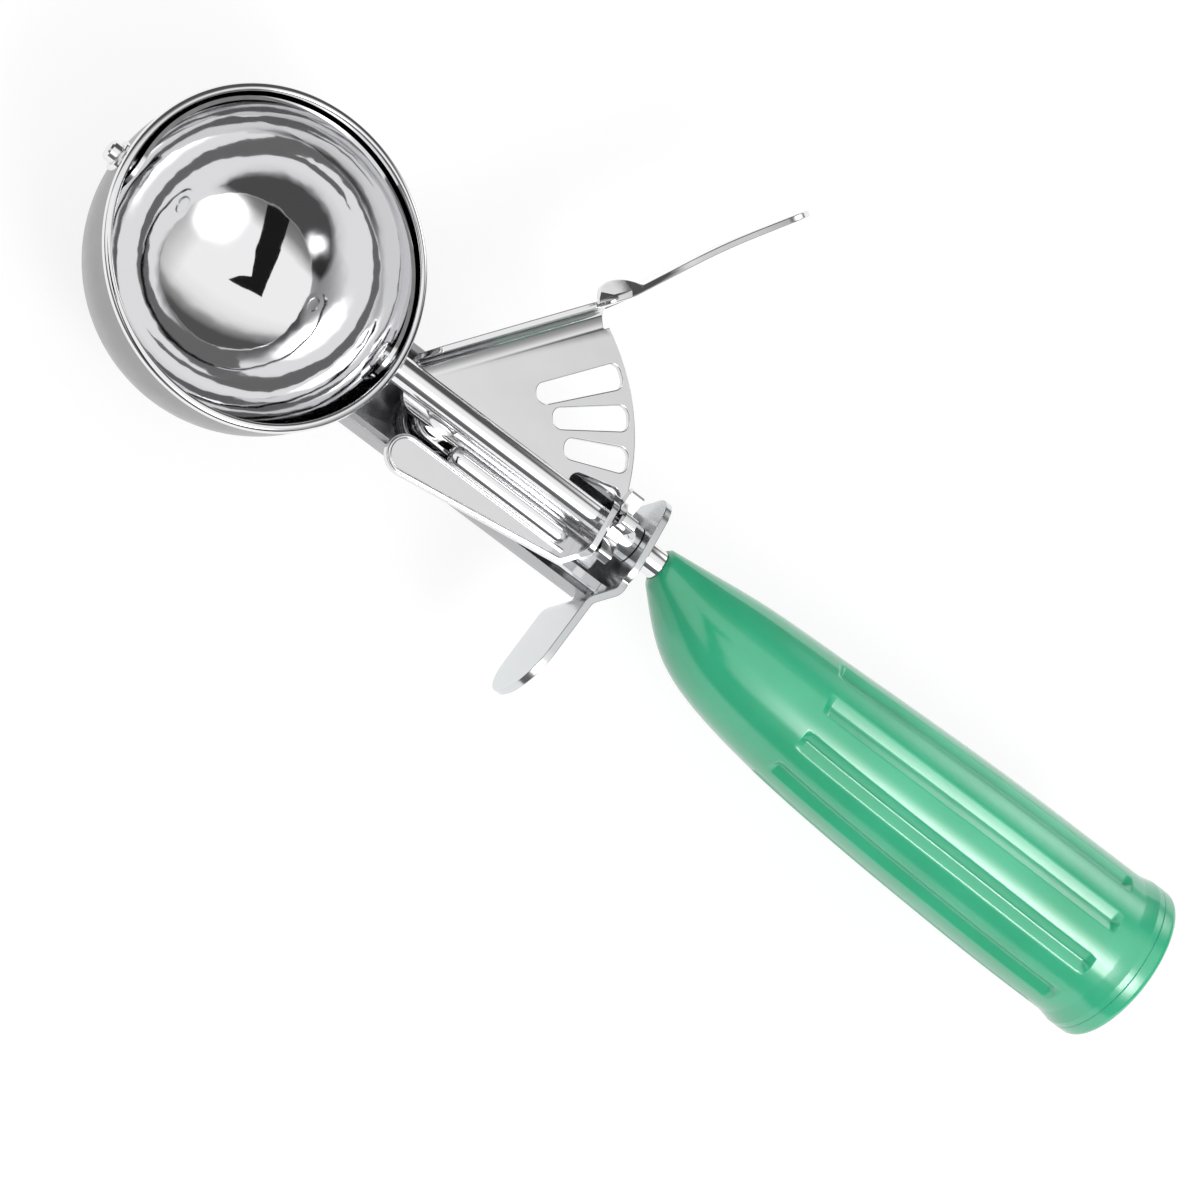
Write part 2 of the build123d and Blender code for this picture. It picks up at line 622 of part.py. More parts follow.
def shank() -> Part:
    """Channel behind the lever, cut to the bowl's outside and ended in a saddle under it."""
    length = bowl_x - guard_front_x
    height = flange_top_z - web_back_z
    outer = Pos(0, (web_back_z + flange_top_z) / 2) * Rectangle(2 * SHANK_HALF_WIDTH, height)
    inner_half = SHANK_HALF_WIDTH - SHEET
    inner = Pos(0, web_front_z) * Rectangle(2 * inner_half, height, align=(Align.CENTER, Align.MIN))
    outer = fillet(outer.vertices().sort_by(Axis.Y)[:2], SHANK_BEND)
    inner = fillet(inner.vertices().sort_by(Axis.Y)[:2], SHANK_BEND - SHEET)
    section = Plane(origin=(guard_front_x, 0, 0), x_dir=(0, 1, 0), z_dir=(1, 0, 0)) * (outer - inner)
    seat_radius = bowl_outer_radius + ASSEMBLY_GAP
    channel = extrude(section, amount=length) - Pos(bowl_x, 0, 0) * Sphere(seat_radius)
    foot_radius = sqrt(seat_radius ** 2 - web_back_z ** 2)
    channel -= Pos(bowl_x, 0, 0) * post(web_back_z - CUT_OVERRUN, 0, foot_radius)
    body = channel + saddle(seat_radius)
    body -= Pos(pivot_x, 0, 0) * post(web_back_z - CUT_OVERRUN, 0, PIVOT_RADIUS + ASSEMBLY_GAP)
    hook = Pos(*spring_shank_hook(), 0) * post(web_back_z - CUT_OVERRUN, 0, spring_hole_radius)
    return body - lever_local * hook


def saddle(seat_radius: float) -> Part:
    """Tongue of sheet that follows the bowl's outside below the channel."""
    shell = Sphere(seat_radius + SHEET) - Sphere(seat_radius)
    top_z = web_front_z
    drop = SADDLE_DROP + SHEET
    tongue = Rectangle(2 * SADDLE_HALF_WIDTH, drop)
    tongue = fillet(tongue.vertices().sort_by(Axis.Y)[:2], SADDLE_HALF_WIDTH / 2)
    face = Plane(origin=(0, 0, top_z - drop / 2), x_dir=(0, 1, 0), z_dir=(1, 0, 0))
    window = extrude(face * tongue, amount=-(seat_radius + CUT_OVERRUN))
    return Pos(bowl_x, 0, 0) * (shell & window)


def front_plate() -> Part:
    """Forked plate in front of the lever, with the upturned wall that carries the shaft's rear end."""
    wall_far_x = end_wall_x + SHEET
    prong_tip_x = pivot_x + PRONG_REACH
    notch_end_x = pivot_x - NOTCH_DEPTH
    leaf_tip_x = pivot_x + LEAF_REACH
    leaf_inner_y = PRONG_HALF_WIDTH + NOTCH_WIDTH
    arm_inner_y = sqrt(pinion_tip_radius ** 2 - plate_front_z ** 2) + ARM_PINION_GAP
    arm_outer_y = arm_inner_y + ARM_WIDTH
    prong_corners = [(prong_tip_x, -PRONG_HALF_WIDTH), (prong_tip_x, PRONG_HALF_WIDTH)]
    notch_corners = [(notch_end_x, PRONG_HALF_WIDTH), (notch_end_x, leaf_inner_y)]
    leaf_corners = [(leaf_tip_x, leaf_inner_y), (leaf_tip_x, leaf_inner_y + LEAF_WIDTH)]
    outline = Polygon(
        (end_wall_x, -PRONG_HALF_WIDTH),
        *prong_corners,
        *notch_corners,
        *leaf_corners,
        (wall_far_x, arm_outer_y),
        (end_wall_x, arm_outer_y),
        align=None,
    )
    outline = fillet(corners_near(outline, prong_corners), PRONG_ROUND)
    outline = fillet(corners_near(outline, notch_corners), NOTCH_ROUND)
    slope = atan2(leaf_inner_y + LEAF_WIDTH - arm_outer_y, leaf_tip_x - wall_far_x)
    outline = fillet(corners_near(outline, leaf_corners), leaf_round(slope))
    arm = Polygon(
        (guard_front_x, arm_inner_y),
        (end_wall_x, arm_inner_y),
        (end_wall_x, arm_outer_y),
        (guard_front_x, arm_outer_y),
        align=None,
    )
    plate = slab(outline + arm, plate_back_z, plate_front_z)
    plate -= Pos(pivot_x, 0, 0) * post(web_back_z, 0, PIVOT_RADIUS + ASSEMBLY_GAP)
    return plate + end_wall(arm_inner_y)


def leaf_round(slope: float) -> float:
    """Radius of the leaf's two corners, as far as the leaf's width has room for both."""
    both_corners = 1 + tan(pi / 4 + slope / 2)
    return min(LEAF_ROUND, LEAF_ROUND_LIMIT_SHARE * LEAF_WIDTH / both_corners)


def end_wall(finger_side_y: float) -> Part:
    """Wall turned up from the front plate, with the bearing hole for the shaft."""
    wall = Polygon(
        (-PRONG_HALF_WIDTH, plate_back_z),
        (finger_side_y, plate_back_z),
        (finger_side_y, END_WALL_RISE),
        (-PRONG_HALF_WIDTH, END_WALL_RISE),
        align=None,
    )
    wall = fillet(wall.vertices().sort_by(Axis.Y)[-2:], END_WALL_ROUND)
    wall -= Circle(SHAFT_RADIUS + RUNNING_CLEARANCE)
    face = Plane(origin=(end_wall_x, 0, 0), x_dir=(0, 1, 0), z_dir=(1, 0, 0))
    return extrude(face * wall, amount=SHEET)


def guard() -> Part:
    """Plate across the stem that runs out on the finger side as a bent finger rest."""
    middle_x = (guard_back_x + guard_front_x) / 2
    step_y = GUARD_FLAT + GUARD_STEP_WIDTH
    step_x = middle_x + GUARD_STEP
    line = FilletPolyline(
        (middle_x, -GUARD_THUMB_SIDE),
        (middle_x, GUARD_FLAT),
        (step_x, step_y),
        (step_x + FINGER_REST_LEAN, FINGER_REST_REACH),
        radius=GUARD_BEND_RADIUS,
    )
    sheet = slab(trace(line, GUARD_THICKNESS), guard_foot_z, GUARD_TOP)
    height = GUARD_TOP - guard_foot_z
    middle_z = (GUARD_TOP + guard_foot_z) / 2
    plate = Pos(0, middle_z) * RectangleRounded(2 * GUARD_THUMB_SIDE, height, GUARD_CORNER)
    rest = RectangleRounded(2 * FINGER_REST_REACH, FINGER_REST_WIDTH, FINGER_REST_ROUND)
    rest = Pos(0, -FINGER_REST_DROP) * rest
    thumb_half = Rectangle(2 * FINGER_REST_REACH, 2 * FINGER_REST_WIDTH)
    rest -= Pos(-FINGER_REST_REACH, -FINGER_REST_DROP) * thumb_half
    outline = plate + rest - Circle(tail_bore_radius)
    face = Plane(origin=(guard_back_x - CUT_OVERRUN, 0, 0), x_dir=(0, 1, 0), z_dir=(1, 0, 0))
    reach = GUARD_THICKNESS + GUARD_STEP + FINGER_REST_LEAN + 2 * CUT_OVERRUN
    return sheet & extrude(face * outline, amount=reach)


# Handle

def grip_sections() -> list:
    """Place, radius and sideways offset of each of the grip's sections."""
    swell = GRIP_RADIUS - neck_radius
    step = (GRIP_LENGTH - CAP_THICKNESS) / (len(GRIP_SECTION_SHARES) - 1)
    return [
        (CAP_THICKNESS + step * index, neck_radius + size * swell, offset * GRIP_OFFSET)
        for index, (size, offset) in enumerate(GRIP_SECTION_SHARES)
    ]


def groove(angle: float) -> Part:
    """Flute along the grip, with a flat floor and sloping sides, that follows the grip's side."""
    outward = Vector(0, cos(radians(angle)), sin(radians(angle)))
    across = Vector(0, sin(radians(angle)), -cos(radians(angle)))
    sections = grip_sections()
    places = []
    for station in GROOVE_STATIONS:
        x, radius, offset = sections[station]
        places.append(Vector(x, offset, 0) + outward * (radius - GROOVE_DEPTH))
    path = Edge.make_three_point_arc(*places)
    floor_half = GROOVE_FLOOR / 2
    mouth_half = GROOVE_WIDTH - floor_half
    section = Polygon(
        (-floor_half, 0),
        (floor_half, 0),
        (mouth_half, 2 * GROOVE_DEPTH),
        (-mouth_half, 2 * GROOVE_DEPTH),
        align=None,
    )
    return sweep(Plane(origin=path @ 0, x_dir=across, z_dir=path % 0) * section, path=path)


def butt_disc(start_x: float, end_x: float, radius: float) -> Part:
    """A cylinder about the butt's own centre."""
    return Pos(0, GRIP_OFFSET, 0) * rod(start_x, end_x, radius)


def grip_collar() -> Part:
    """Flare at the butt end of the grip, against the end cap."""
    inner = GRIP_RADIUS - COLLAR_ROOT
    lip = GRIP_RADIUS + COLLAR_STAND
    lip_end = CAP_THICKNESS + COLLAR_LIP
    flare_end = lip_end + COLLAR_FLARE
    foot = (flare_end, GRIP_RADIUS - COLLAR_SINK)
    edge = (lip_end, lip)
    flare = make_face([
        Polyline(foot, (flare_end, inner), (CAP_THICKNESS, inner), (CAP_THICKNESS, lip), edge),
        TangentArc(foot, edge, tangent=(-1, COLLAR_SLOPE_SHARE)),
    ])
    return Pos(0, GRIP_OFFSET, 0) * revolve(flare, Axis.X)


def grip() -> Part:
    """Moulded handle: slim round neck, off-centre fluted body, flared end and a bored core."""
    rings = [
        Plane(origin=(x, offset, 0), x_dir=(0, 1, 0), z_dir=(1, 0, 0)) * Circle(radius)
        for x, radius, offset in grip_sections()
    ]
    body = loft(rings)
    for index in range(GROOVE_COUNT):
        body -= groove(360 * (index + 1 / 2) / GROOVE_COUNT)
    body += grip_collar()
    body -= butt_disc(0, CAP_THICKNESS + CAP_SPIGOT_LENGTH, CAP_SPIGOT_RADIUS)
    body -= rod(CAP_THICKNESS, tang_shoulder_x, nut_pocket_radius)
    return body - rod(tang_shoulder_x, GRIP_LENGTH + CUT_OVERRUN, ferrule_inner_radius)


def end_cap() -> Part:
    """Cap over the butt with a round edge and a spigot that plugs the grip."""
    cap = butt_disc(0, CAP_THICKNESS, GRIP_RADIUS + COLLAR_STAND)
    edge = cap.edges().filter_by(GeomType.CIRCLE).sort_by(Axis.X)[0]
    cap = fillet(edge, CAP_EDGE_ROUND)
    plug_end = CAP_THICKNESS + CAP_SPIGOT_LENGTH - ASSEMBLY_GAP
    return cap + butt_disc(CAP_THICKNESS, plug_end, CAP_SPIGOT_RADIUS - ASSEMBLY_GAP)


def ferrule() -> Part:
    """Short tube between the grip's nose and the guard."""
    tube = rod(GRIP_LENGTH, guard_back_x, ferrule_inner_radius + FERRULE_WALL)
    return tube - rod(0, guard_back_x + CUT_OVERRUN, ferrule_inner_radius)


def nut_face_x() -> float:
    """Where the nut bears on its washer."""
    return tang_shoulder_x - NUT_WASHER_THICKNESS


def tang() -> Part:
    """Rod from the guard through the grip, bored for the shaft's tail and threaded for the nut."""
    thread_start = nut_face_x() - NUT_THICKNESS - TANG_THREAD_PROUD
    body = rod(tang_shoulder_x, guard_back_x, TANG_RADIUS)
    body += rod(thread_start, tang_shoulder_x, TANG_THREAD_RADIUS)
    bore_start = guard_back_x - TAIL_DEPTH - AXIAL_PLAY
    return body - rod(bore_start, guard_back_x + CUT_OVERRUN, tail_bore_radius)


def tang_washer() -> Part:
    """Washer under the tang's nut."""
    washer = rod(nut_face_x(), tang_shoulder_x, NUT_WASHER_RADIUS)
    return washer - rod(0, guard_back_x, TANG_THREAD_RADIUS + ASSEMBLY_GAP)


def tang_nut() -> Part:
    """Hexagon nut that draws the tang tight."""
    hexagon = RegularPolygon(NUT_ACROSS_FLATS / 2, 6, major_radius=False)
    hexagon -= Circle(TANG_THREAD_RADIUS + ASSEMBLY_GAP)
    nut = extrude(hexagon, amount=NUT_THICKNESS)
    return Pos(nut_face_x() - NUT_THICKNESS, 0, 0) * Rot(0, 90, 0) * nut


PIECES = {
    "bowl": bowl,
    "near_bush": lambda: bearing_bush(SHAFT_RADIUS, -1),
    "far_bush": lambda: bearing_bush(TIP_PIN_RADIUS, 1),
    "shank": shank,
    "front_plate": front_plate,
    "guard": guard,
    "ferrule": ferrule,
    "tang": tang,
    "tang_nut": tang_nut,
    "tang_washer": tang_washer,
    "grip": grip,
    "end_cap": end_cap,
    "pivot_rivet": pivot_rivet,
    "pivot_washer": pivot_washer,
    "spring_sleeve": spring_sleeve,
    "return_spring": return_spring,
    "thumb_lever": thumb_lever,
    "wiper_blade": wiper_blade,
    "wiper_shaft": wiper_shaft,
    "tip_pin": tip_pin,
    "pinion": pinion,
    "cross_pin": cross_pin,
    "thrust_washer": thrust_washer,
}

os.makedirs("parts", exist_ok=True)
for name, make in PIECES.items():
    export_step(make(), f"parts/{name}.step")
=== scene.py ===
"""Dresses a thumb-press ice cream disher: turned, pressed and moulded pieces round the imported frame.

Lengths are in metres, in the frame's own axes: the stem runs along X, the bowl's mouth opens to +Z,
the thumb lever is on the -Y side and the finger rest on the +Y side.
"""
import logging
import math
from contextlib import contextmanager
from dataclasses import dataclass
from enum import Enum
from typing import Callable, Iterator, Sequence

import bmesh
import bpy
import numpy as np
from bpy.types import Material, Node, NodeSocket, NodeTree, Object
from mathutils import Matrix, Vector


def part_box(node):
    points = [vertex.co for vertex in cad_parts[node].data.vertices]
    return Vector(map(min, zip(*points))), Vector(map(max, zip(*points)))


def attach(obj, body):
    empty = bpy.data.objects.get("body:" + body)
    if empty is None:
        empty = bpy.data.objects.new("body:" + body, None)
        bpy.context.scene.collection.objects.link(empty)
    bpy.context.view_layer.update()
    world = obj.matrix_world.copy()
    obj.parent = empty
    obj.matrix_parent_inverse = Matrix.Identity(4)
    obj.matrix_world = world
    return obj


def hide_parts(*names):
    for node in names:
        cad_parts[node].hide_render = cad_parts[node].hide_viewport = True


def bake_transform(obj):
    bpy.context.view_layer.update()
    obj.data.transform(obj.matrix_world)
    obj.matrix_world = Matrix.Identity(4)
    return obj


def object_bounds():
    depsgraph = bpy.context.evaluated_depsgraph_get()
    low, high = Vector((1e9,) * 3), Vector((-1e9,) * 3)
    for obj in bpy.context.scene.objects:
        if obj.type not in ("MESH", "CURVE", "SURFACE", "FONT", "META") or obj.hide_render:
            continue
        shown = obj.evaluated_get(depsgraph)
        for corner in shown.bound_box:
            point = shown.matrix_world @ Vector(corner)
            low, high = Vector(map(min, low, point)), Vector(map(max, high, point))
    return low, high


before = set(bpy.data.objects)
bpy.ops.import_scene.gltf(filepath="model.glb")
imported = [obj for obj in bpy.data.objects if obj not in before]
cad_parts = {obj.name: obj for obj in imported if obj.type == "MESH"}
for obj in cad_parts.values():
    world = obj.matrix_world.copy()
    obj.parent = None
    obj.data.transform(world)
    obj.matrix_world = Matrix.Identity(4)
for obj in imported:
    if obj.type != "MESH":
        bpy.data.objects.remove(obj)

LOG = logging.getLogger("disher")
CAD_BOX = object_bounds()
MM = 0.001
SAME_PLACE = 1e-7  # Closer points of a made mesh are one
PLACE_DIGITS = 7  # The same, as decimal places of a metre
ON_AXIS = 1e-9  # A smaller radius is a pole
NOISE_SPAN = (0.3, 0.7)  # Where most values of a noise lie
Point = tuple[float, float]
Triple = tuple[float, float, float]
Colour = tuple[float, float, float, float]
Former = Callable[[bmesh.types.BMesh], None]


class Body(Enum):
    """The frame's moving bodies."""

    FRAME = "frame"
    LEVER = "lever"
    WIPER = "wiper"


class Slot(Enum):
    """The record's material slots."""

    POLISHED = "polished_steel"
    BRIGHT = "bright_steel"
    SPRING = "spring_steel"
    PLASTIC = "green_plastic"


class Along(Enum):
    """The axis that a turned piece is turned about."""

    X = "x"
    Z = "z"


# Shader helpers

def new_material(name: str) -> tuple[Material, NodeTree]:
    """Makes a material with a node tree.

    Args:
        name: The material's name.

    Returns:
        The material and its tree.
    """
    material = bpy.data.materials.new(name)
    material.use_nodes = True
    return material, material.node_tree


def grey(level: float) -> Colour:
    """A grey of one level."""
    return level, level, level, 1.0


def math_node(
    tree: NodeTree,
    operation: str,
    first: NodeSocket,
    second: NodeSocket | float = 0.0,
) -> NodeSocket:
    """Adds a math node.

    Args:
        tree: The node tree.
        operation: What the node does.
        first: What feeds its first input.
        second: What feeds its second input, or its value.

    Returns:
        The node's output.
    """
    node = tree.nodes.new("ShaderNodeMath")
    node.operation = operation
    tree.links.new(first, node.inputs[0])
    if isinstance(second, float):
        node.inputs[1].default_value = second
    else:
        tree.links.new(second, node.inputs[1])
    return node.outputs[0]


def mixed(
    tree: NodeTree,
    plain: NodeSocket | Colour,
    other: NodeSocket | Colour,
    factor: NodeSocket,
) -> NodeSocket:
    """Adds a colour mix.

    Args:
        tree: The node tree.
        plain: The colour at factor 0.
        other: The colour at factor 1.
        factor: What feeds the factor.

    Returns:
        The mixed colour.
    """
    node = tree.nodes.new("ShaderNodeMix")
    node.data_type = "RGBA"
    tree.links.new(factor, node.inputs["Factor"])
    for label, colour in (("A", plain), ("B", other)):
        socket = next(s for s in node.inputs if s.name == label and s.type == "RGBA")
        if isinstance(colour, tuple):
            socket.default_value = colour
        else:
            tree.links.new(colour, socket)
    return next(s for s in node.outputs if s.type == "RGBA")


def ramp(tree: NodeTree, value: NodeSocket, levels: Sequence[Point]) -> NodeSocket:
    """Adds a grey ramp.

    Args:
        tree: The node tree.
        value: What feeds the ramp.
        levels: Position and level of each stop.

    Returns:
        The ramp's output.
    """
    node = tree.nodes.new("ShaderNodeValToRGB")
    stops = node.color_ramp.elements
    for position, level in levels[1:-1]:
        stops.new(position).color = grey(level)
    for stop, (position, level) in zip((stops[0], stops[-1]), (levels[0], levels[-1])):
        stop.position = position
        stop.color = grey(level)
    tree.links.new(value, node.inputs["Fac"])
    return node.outputs["Color"]


def bumped(
    tree: NodeTree,
    height: NodeSocket,
    distance: float,
    strength: float = 1.0,
    normal: NodeSocket | None = None,
) -> NodeSocket:
    """Adds a bump.

    Args:
        tree: The material's node tree.
        height: What feeds the height.
        distance: The height's full measure.
        strength: Share of the bump that shows.
        normal: The normal that the bump lies on, if it isn't the bare surface's.

    Returns:
        The bumped normal.
    """
    node = tree.nodes.new("ShaderNodeBump")
    node.inputs["Strength"].default_value = strength
    node.inputs["Distance"].default_value = distance
    tree.links.new(height, node.inputs["Height"])
    if normal:
        tree.links.new(normal, node.inputs["Normal"])
    return node.outputs["Normal"]


# Shared shader effects

def noise_group(name: str, stretch: Triple, detail: float) -> NodeTree:
    """Noise between two levels, drawn out along one or more axes.

    Args:
        name: The group's name.
        stretch: Scale of the coordinates along each axis.
        detail: Octaves of the noise.

    Returns:
        The finished group, with Vector, Scale, Low and High inputs and a Value output.
    """
    tree = bpy.data.node_groups.new(name, "ShaderNodeTree")
    tree.interface.new_socket("Vector", in_out="INPUT", socket_type="NodeSocketVector")
    for label, value in (("Scale", 100.0), ("Low", 0.0), ("High", 1.0)):
        socket = tree.interface.new_socket(label, in_out="INPUT", socket_type="NodeSocketFloat")
        socket.default_value = value
    tree.interface.new_socket("Value", in_out="OUTPUT", socket_type="NodeSocketFloat")
    inlet, outlet = tree.nodes.new("NodeGroupInput"), tree.nodes.new("NodeGroupOutput")
    mapping = tree.nodes.new("ShaderNodeMapping")
    mapping.inputs["Scale"].default_value = stretch
    noise = tree.nodes.new("ShaderNodeTexNoise")
    noise.inputs["Detail"].default_value = detail
    levels = tree.nodes.new("ShaderNodeMapRange")
    levels.inputs["From Min"].default_value, levels.inputs["From Max"].default_value = NOISE_SPAN
    for source, target in (
        (inlet.outputs["Vector"], mapping.inputs["Vector"]),
        (mapping.outputs["Vector"], noise.inputs["Vector"]),
        (inlet.outputs["Scale"], noise.inputs["Scale"]),
        (noise.outputs["Fac"], levels.inputs["Value"]),
        (inlet.outputs["Low"], levels.inputs["To Min"]),
        (inlet.outputs["High"], levels.inputs["To Max"]),
        (levels.outputs["Result"], outlet.inputs["Value"]),
    ):
        tree.links.new(source, target)
    return tree


class Effects:
    """The shader groups that more than one finish uses."""

    def __init__(self) -> None:
        """Builds each group once."""
        self.smudge = noise_group("soft_smudges", (1.0, 1.0, 1.0), detail=3.0)
        self.scratch = noise_group("drawn_scratches", (0.04, 1.0, 1.0), detail=6.0)
        self.grain = noise_group("fine_grain", (1.0, 1.0, 1.0), detail=8.0)


def placed(tree: NodeTree, group: NodeTree, **values: float) -> NodeSocket:
    """Places a shared effect in a material, fed by Object coordinates.

    Args:
        tree: The material's node tree.
        group: The shared effect.
        values: Values of the effect's inputs.

    Returns:
        The effect's value.
    """
    node = tree.nodes.new("ShaderNodeGroup")
    node.node_tree = group
    for label, value in values.items():
        node.inputs[label].default_value = value
    place = tree.nodes.get("place") or tree.nodes.new("ShaderNodeTexCoord")
    place.name = "place"
    tree.links.new(place.outputs["Object"], node.inputs["Vector"])
    return node.outputs["Value"]


# Finishes

@dataclass(frozen=True)
class SteelFinish:
    """A bare steel surface: its colour, how sharply it mirrors and how its marks run."""

    name: str
    colour: Triple
    smooth: float
    rough: float
    mark_scale: float
    bump: float
    drawn: bool = False
    wave: float = 0.0
    wave_scale: float = 70.0
    skin_scale: float = 4.0
    skin_depth: float = 0.01 * MM

    def build(self, effects: Effects) -> Material:
        """Builds the material.

        Args:
            effects: The shared shader groups.

        Returns:
            The finished material.
        """
        material, tree = new_material(self.name)
        shader = tree.nodes["Principled BSDF"]
        shader.inputs["Metallic"].default_value = 1.0
        shader.inputs["Base Color"].default_value = (*self.colour, 1.0)
        marks = effects.scratch if self.drawn else effects.smudge
        skin = effects.scratch if self.drawn else effects.grain
        rough = placed(tree, marks, Scale=self.mark_scale, Low=self.smooth, High=self.rough)
        wave = bumped(tree, placed(tree, effects.smudge, Scale=self.wave_scale), self.wave)
        height = placed(tree, skin, Scale=self.skin_scale * self.mark_scale)
        tree.links.new(rough, shader.inputs["Roughness"])
        tree.links.new(bumped(tree, height, self.skin_depth, self.bump, wave), shader.inputs["Normal"])
        return material


@dataclass(frozen=True)
class PlasticFinish:
    """Moulded plastic with a soft sheen over its gloss, which lets a little light in."""

    name: str
    colour: Triple
    deep_colour: Triple
    smooth: float
    rough: float
    cloud_scale: float = 60.0
    grain_scale: float = 900.0
    skin_scale: float = 350.0
    skin_depth: float = 0.05 * MM
    skin_strength: float = 0.08

    def build(self, effects: Effects) -> Material:
        """Builds the material.

        Args:
            effects: The shared shader groups.

        Returns:
            The finished material.
        """
        material, tree = new_material(self.name)
        shader = tree.nodes["Principled BSDF"]
        even = {
            "Subsurface Weight": 0.25,
            "Subsurface Radius": (0.3, 1.0, 0.6),
            "Subsurface Scale": 3 * MM,
            "IOR": 1.5,
            "Specular IOR Level": 1.0,
            "Coat Weight": 0.7,
            "Coat Roughness": 0.45,
            "Coat IOR": 1.6,
        }
        for label, value in even.items():
            shader.inputs[label].default_value = value
        cloud = placed(tree, effects.smudge, Scale=self.cloud_scale)
        tint = mixed(tree, (*self.deep_colour, 1.0), (*self.colour, 1.0), cloud)
        rough = placed(tree, effects.grain, Scale=self.grain_scale, Low=self.smooth, High=self.rough)
        height = placed(tree, effects.smudge, Scale=self.skin_scale)
        tree.links.new(tint, shader.inputs["Base Color"])
        tree.links.new(rough, shader.inputs["Roughness"])
        tree.links.new(bumped(tree, height, self.skin_depth, self.skin_strength), shader.inputs["Normal"])
        return material


class Finishes:
    """Every finish of the disher."""

    def __init__(self) -> None:
        """Builds the materials."""
        effects = Effects()
        self.mirror = SteelFinish(
            "mirror_steel", (0.84, 0.84, 0.85),
            smooth=0.03, rough=0.055, mark_scale=90.0, bump=0.02, wave=0.05 * MM,
        ).build(effects)
        # Bowl's outer wall: a rougher spun finish, and a colour darker than the same steel inside, which is
        # painted shade
        self.spun_painted_shade = SteelFinish(
            "spun_steel_painted_shade", (0.33, 0.33, 0.335),
            smooth=0.26, rough=0.34, mark_scale=260.0, bump=0.015,
        ).build(effects)
        self.turned = SteelFinish(
            "turned_steel", (0.84, 0.84, 0.85),
            smooth=0.09, rough=0.14, mark_scale=700.0, bump=0.04, drawn=True,
        ).build(effects)
        self.pressed = SteelFinish(
            "pressed_steel", (0.80, 0.80, 0.81),
            smooth=0.09, rough=0.13, mark_scale=120.0, bump=0.04, wave=0.02 * MM,
        ).build(effects)
        # Shank: rougher than the pressed plate, and its darker colour is painted shade
        self.rough_painted_shade = SteelFinish(
            "rough_steel_painted_shade", (0.44, 0.44, 0.45),
            smooth=0.20, rough=0.28, mark_scale=300.0, bump=0.08,
        ).build(effects)
        self.satin = SteelFinish(
            "satin_steel", (0.70, 0.72, 0.735),
            smooth=0.17, rough=0.23, mark_scale=120.0, bump=0.05, wave=0.02 * MM,
        ).build(effects)
        self.wire = SteelFinish(
            "spring_wire", (0.42, 0.42, 0.44),
            smooth=0.15, rough=0.30, mark_scale=800.0, bump=0.10,
        ).build(effects)
        self.green = PlasticFinish(
            "green_plastic", (0.020, 0.50, 0.26), (0.010, 0.44, 0.21), smooth=0.13, rough=0.20,
        ).build(effects)


# Mesh makers

def middle_x(node: str) -> float:
    """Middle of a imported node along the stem."""
    low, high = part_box(node)
    return (low.x + high.x) / 2


def half_width(node: str) -> float:
    """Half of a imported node's width across the stem."""
    low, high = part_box(node)
    return (high.y - low.y) / 2


def linked(name: str, data: bpy.types.ID) -> Object:
    """Puts data into the scene as a new object.

    Args:
        name: The object's name.
        data: Its mesh, curve, camera or lamp.

    Returns:
        The new object.
    """
    made = bpy.data.objects.new(name, data)
    bpy.context.scene.collection.objects.link(made)
    return made


@contextmanager
def editing(mesh: bpy.types.Mesh) -> Iterator[bmesh.types.BMesh]:
    """Opens a mesh for editing and writes it back.

    Args:
        mesh: The mesh.

    Yields:
        The mesh in its editable form.
    """
    work = bmesh.new()
    work.from_mesh(mesh)
    yield work
    work.to_mesh(mesh)
    work.free()


def mesh_object(name: str, points: np.ndarray, faces: Sequence[Sequence[int]]) -> Object:
    """Makes a linked mesh object.

    Args:
        name: The piece's name.
        points: Places of the vertices, one row each.
        faces: Vertex numbers of each face.

    Returns:
        The new object.
    """
    mesh = bpy.data.meshes.new(name)
    mesh.from_pydata([tuple(p) for p in points], [], [tuple(f) for f in faces])
    mesh.validate()
    return linked(name, mesh)


def quads(rows: int, columns: int, closed: bool = False) -> list[list[int]]:
    """Faces of a grid of points that are numbered row by row.

    Args:
        rows: Rows of points.
        columns: Points in a row.
        closed: Whether each row closes on itself.

    Returns:
        Vertex numbers of each face.
    """
    faces = []
    for row in range(0, (rows - 1) * columns, columns):
        for j in range(columns if closed else columns - 1):
            n = (j + 1) % columns
            faces.append([row + j, row + n, row + columns + n, row + columns + j])
    return faces


def shade(made: Object, angle: float = 35.0) -> Object:
    """Smooths a piece, apart from its sharp edges.

    Args:
        made: The piece.
        angle: Turn in degrees above which an edge stays sharp.

    Returns:
        The same piece.
    """
    made.data.polygons.foreach_set("use_smooth", [True] * len(made.data.polygons))
    made.data.set_sharp_from_angle(angle=math.radians(angle))
    return made


def outward(made: Object) -> Object:
    """Merges doubles and turns all faces of a closed piece outwards.

    Args:
        made: The piece.

    Returns:
        The same piece.
    """
    with editing(made.data) as work:
        bmesh.ops.remove_doubles(work, verts=work.verts, dist=SAME_PLACE)
        bmesh.ops.recalc_face_normals(work, faces=work.faces)
    return made


def baked(made: Object) -> Object:
    """Turns a curve, or a piece with modifiers, into a plain mesh.

    Args:
        made: The curve or piece.

    Returns:
        The plain mesh object, a new one where a curve came in.
    """
    view = bpy.context.evaluated_depsgraph_get()
    mesh = bpy.data.meshes.new_from_object(made.evaluated_get(view))
    if made.type == "MESH":
        made.modifiers.clear()
        made.data = mesh
        return made
    name = made.name
    bpy.data.objects.remove(made)
    return linked(name, mesh)


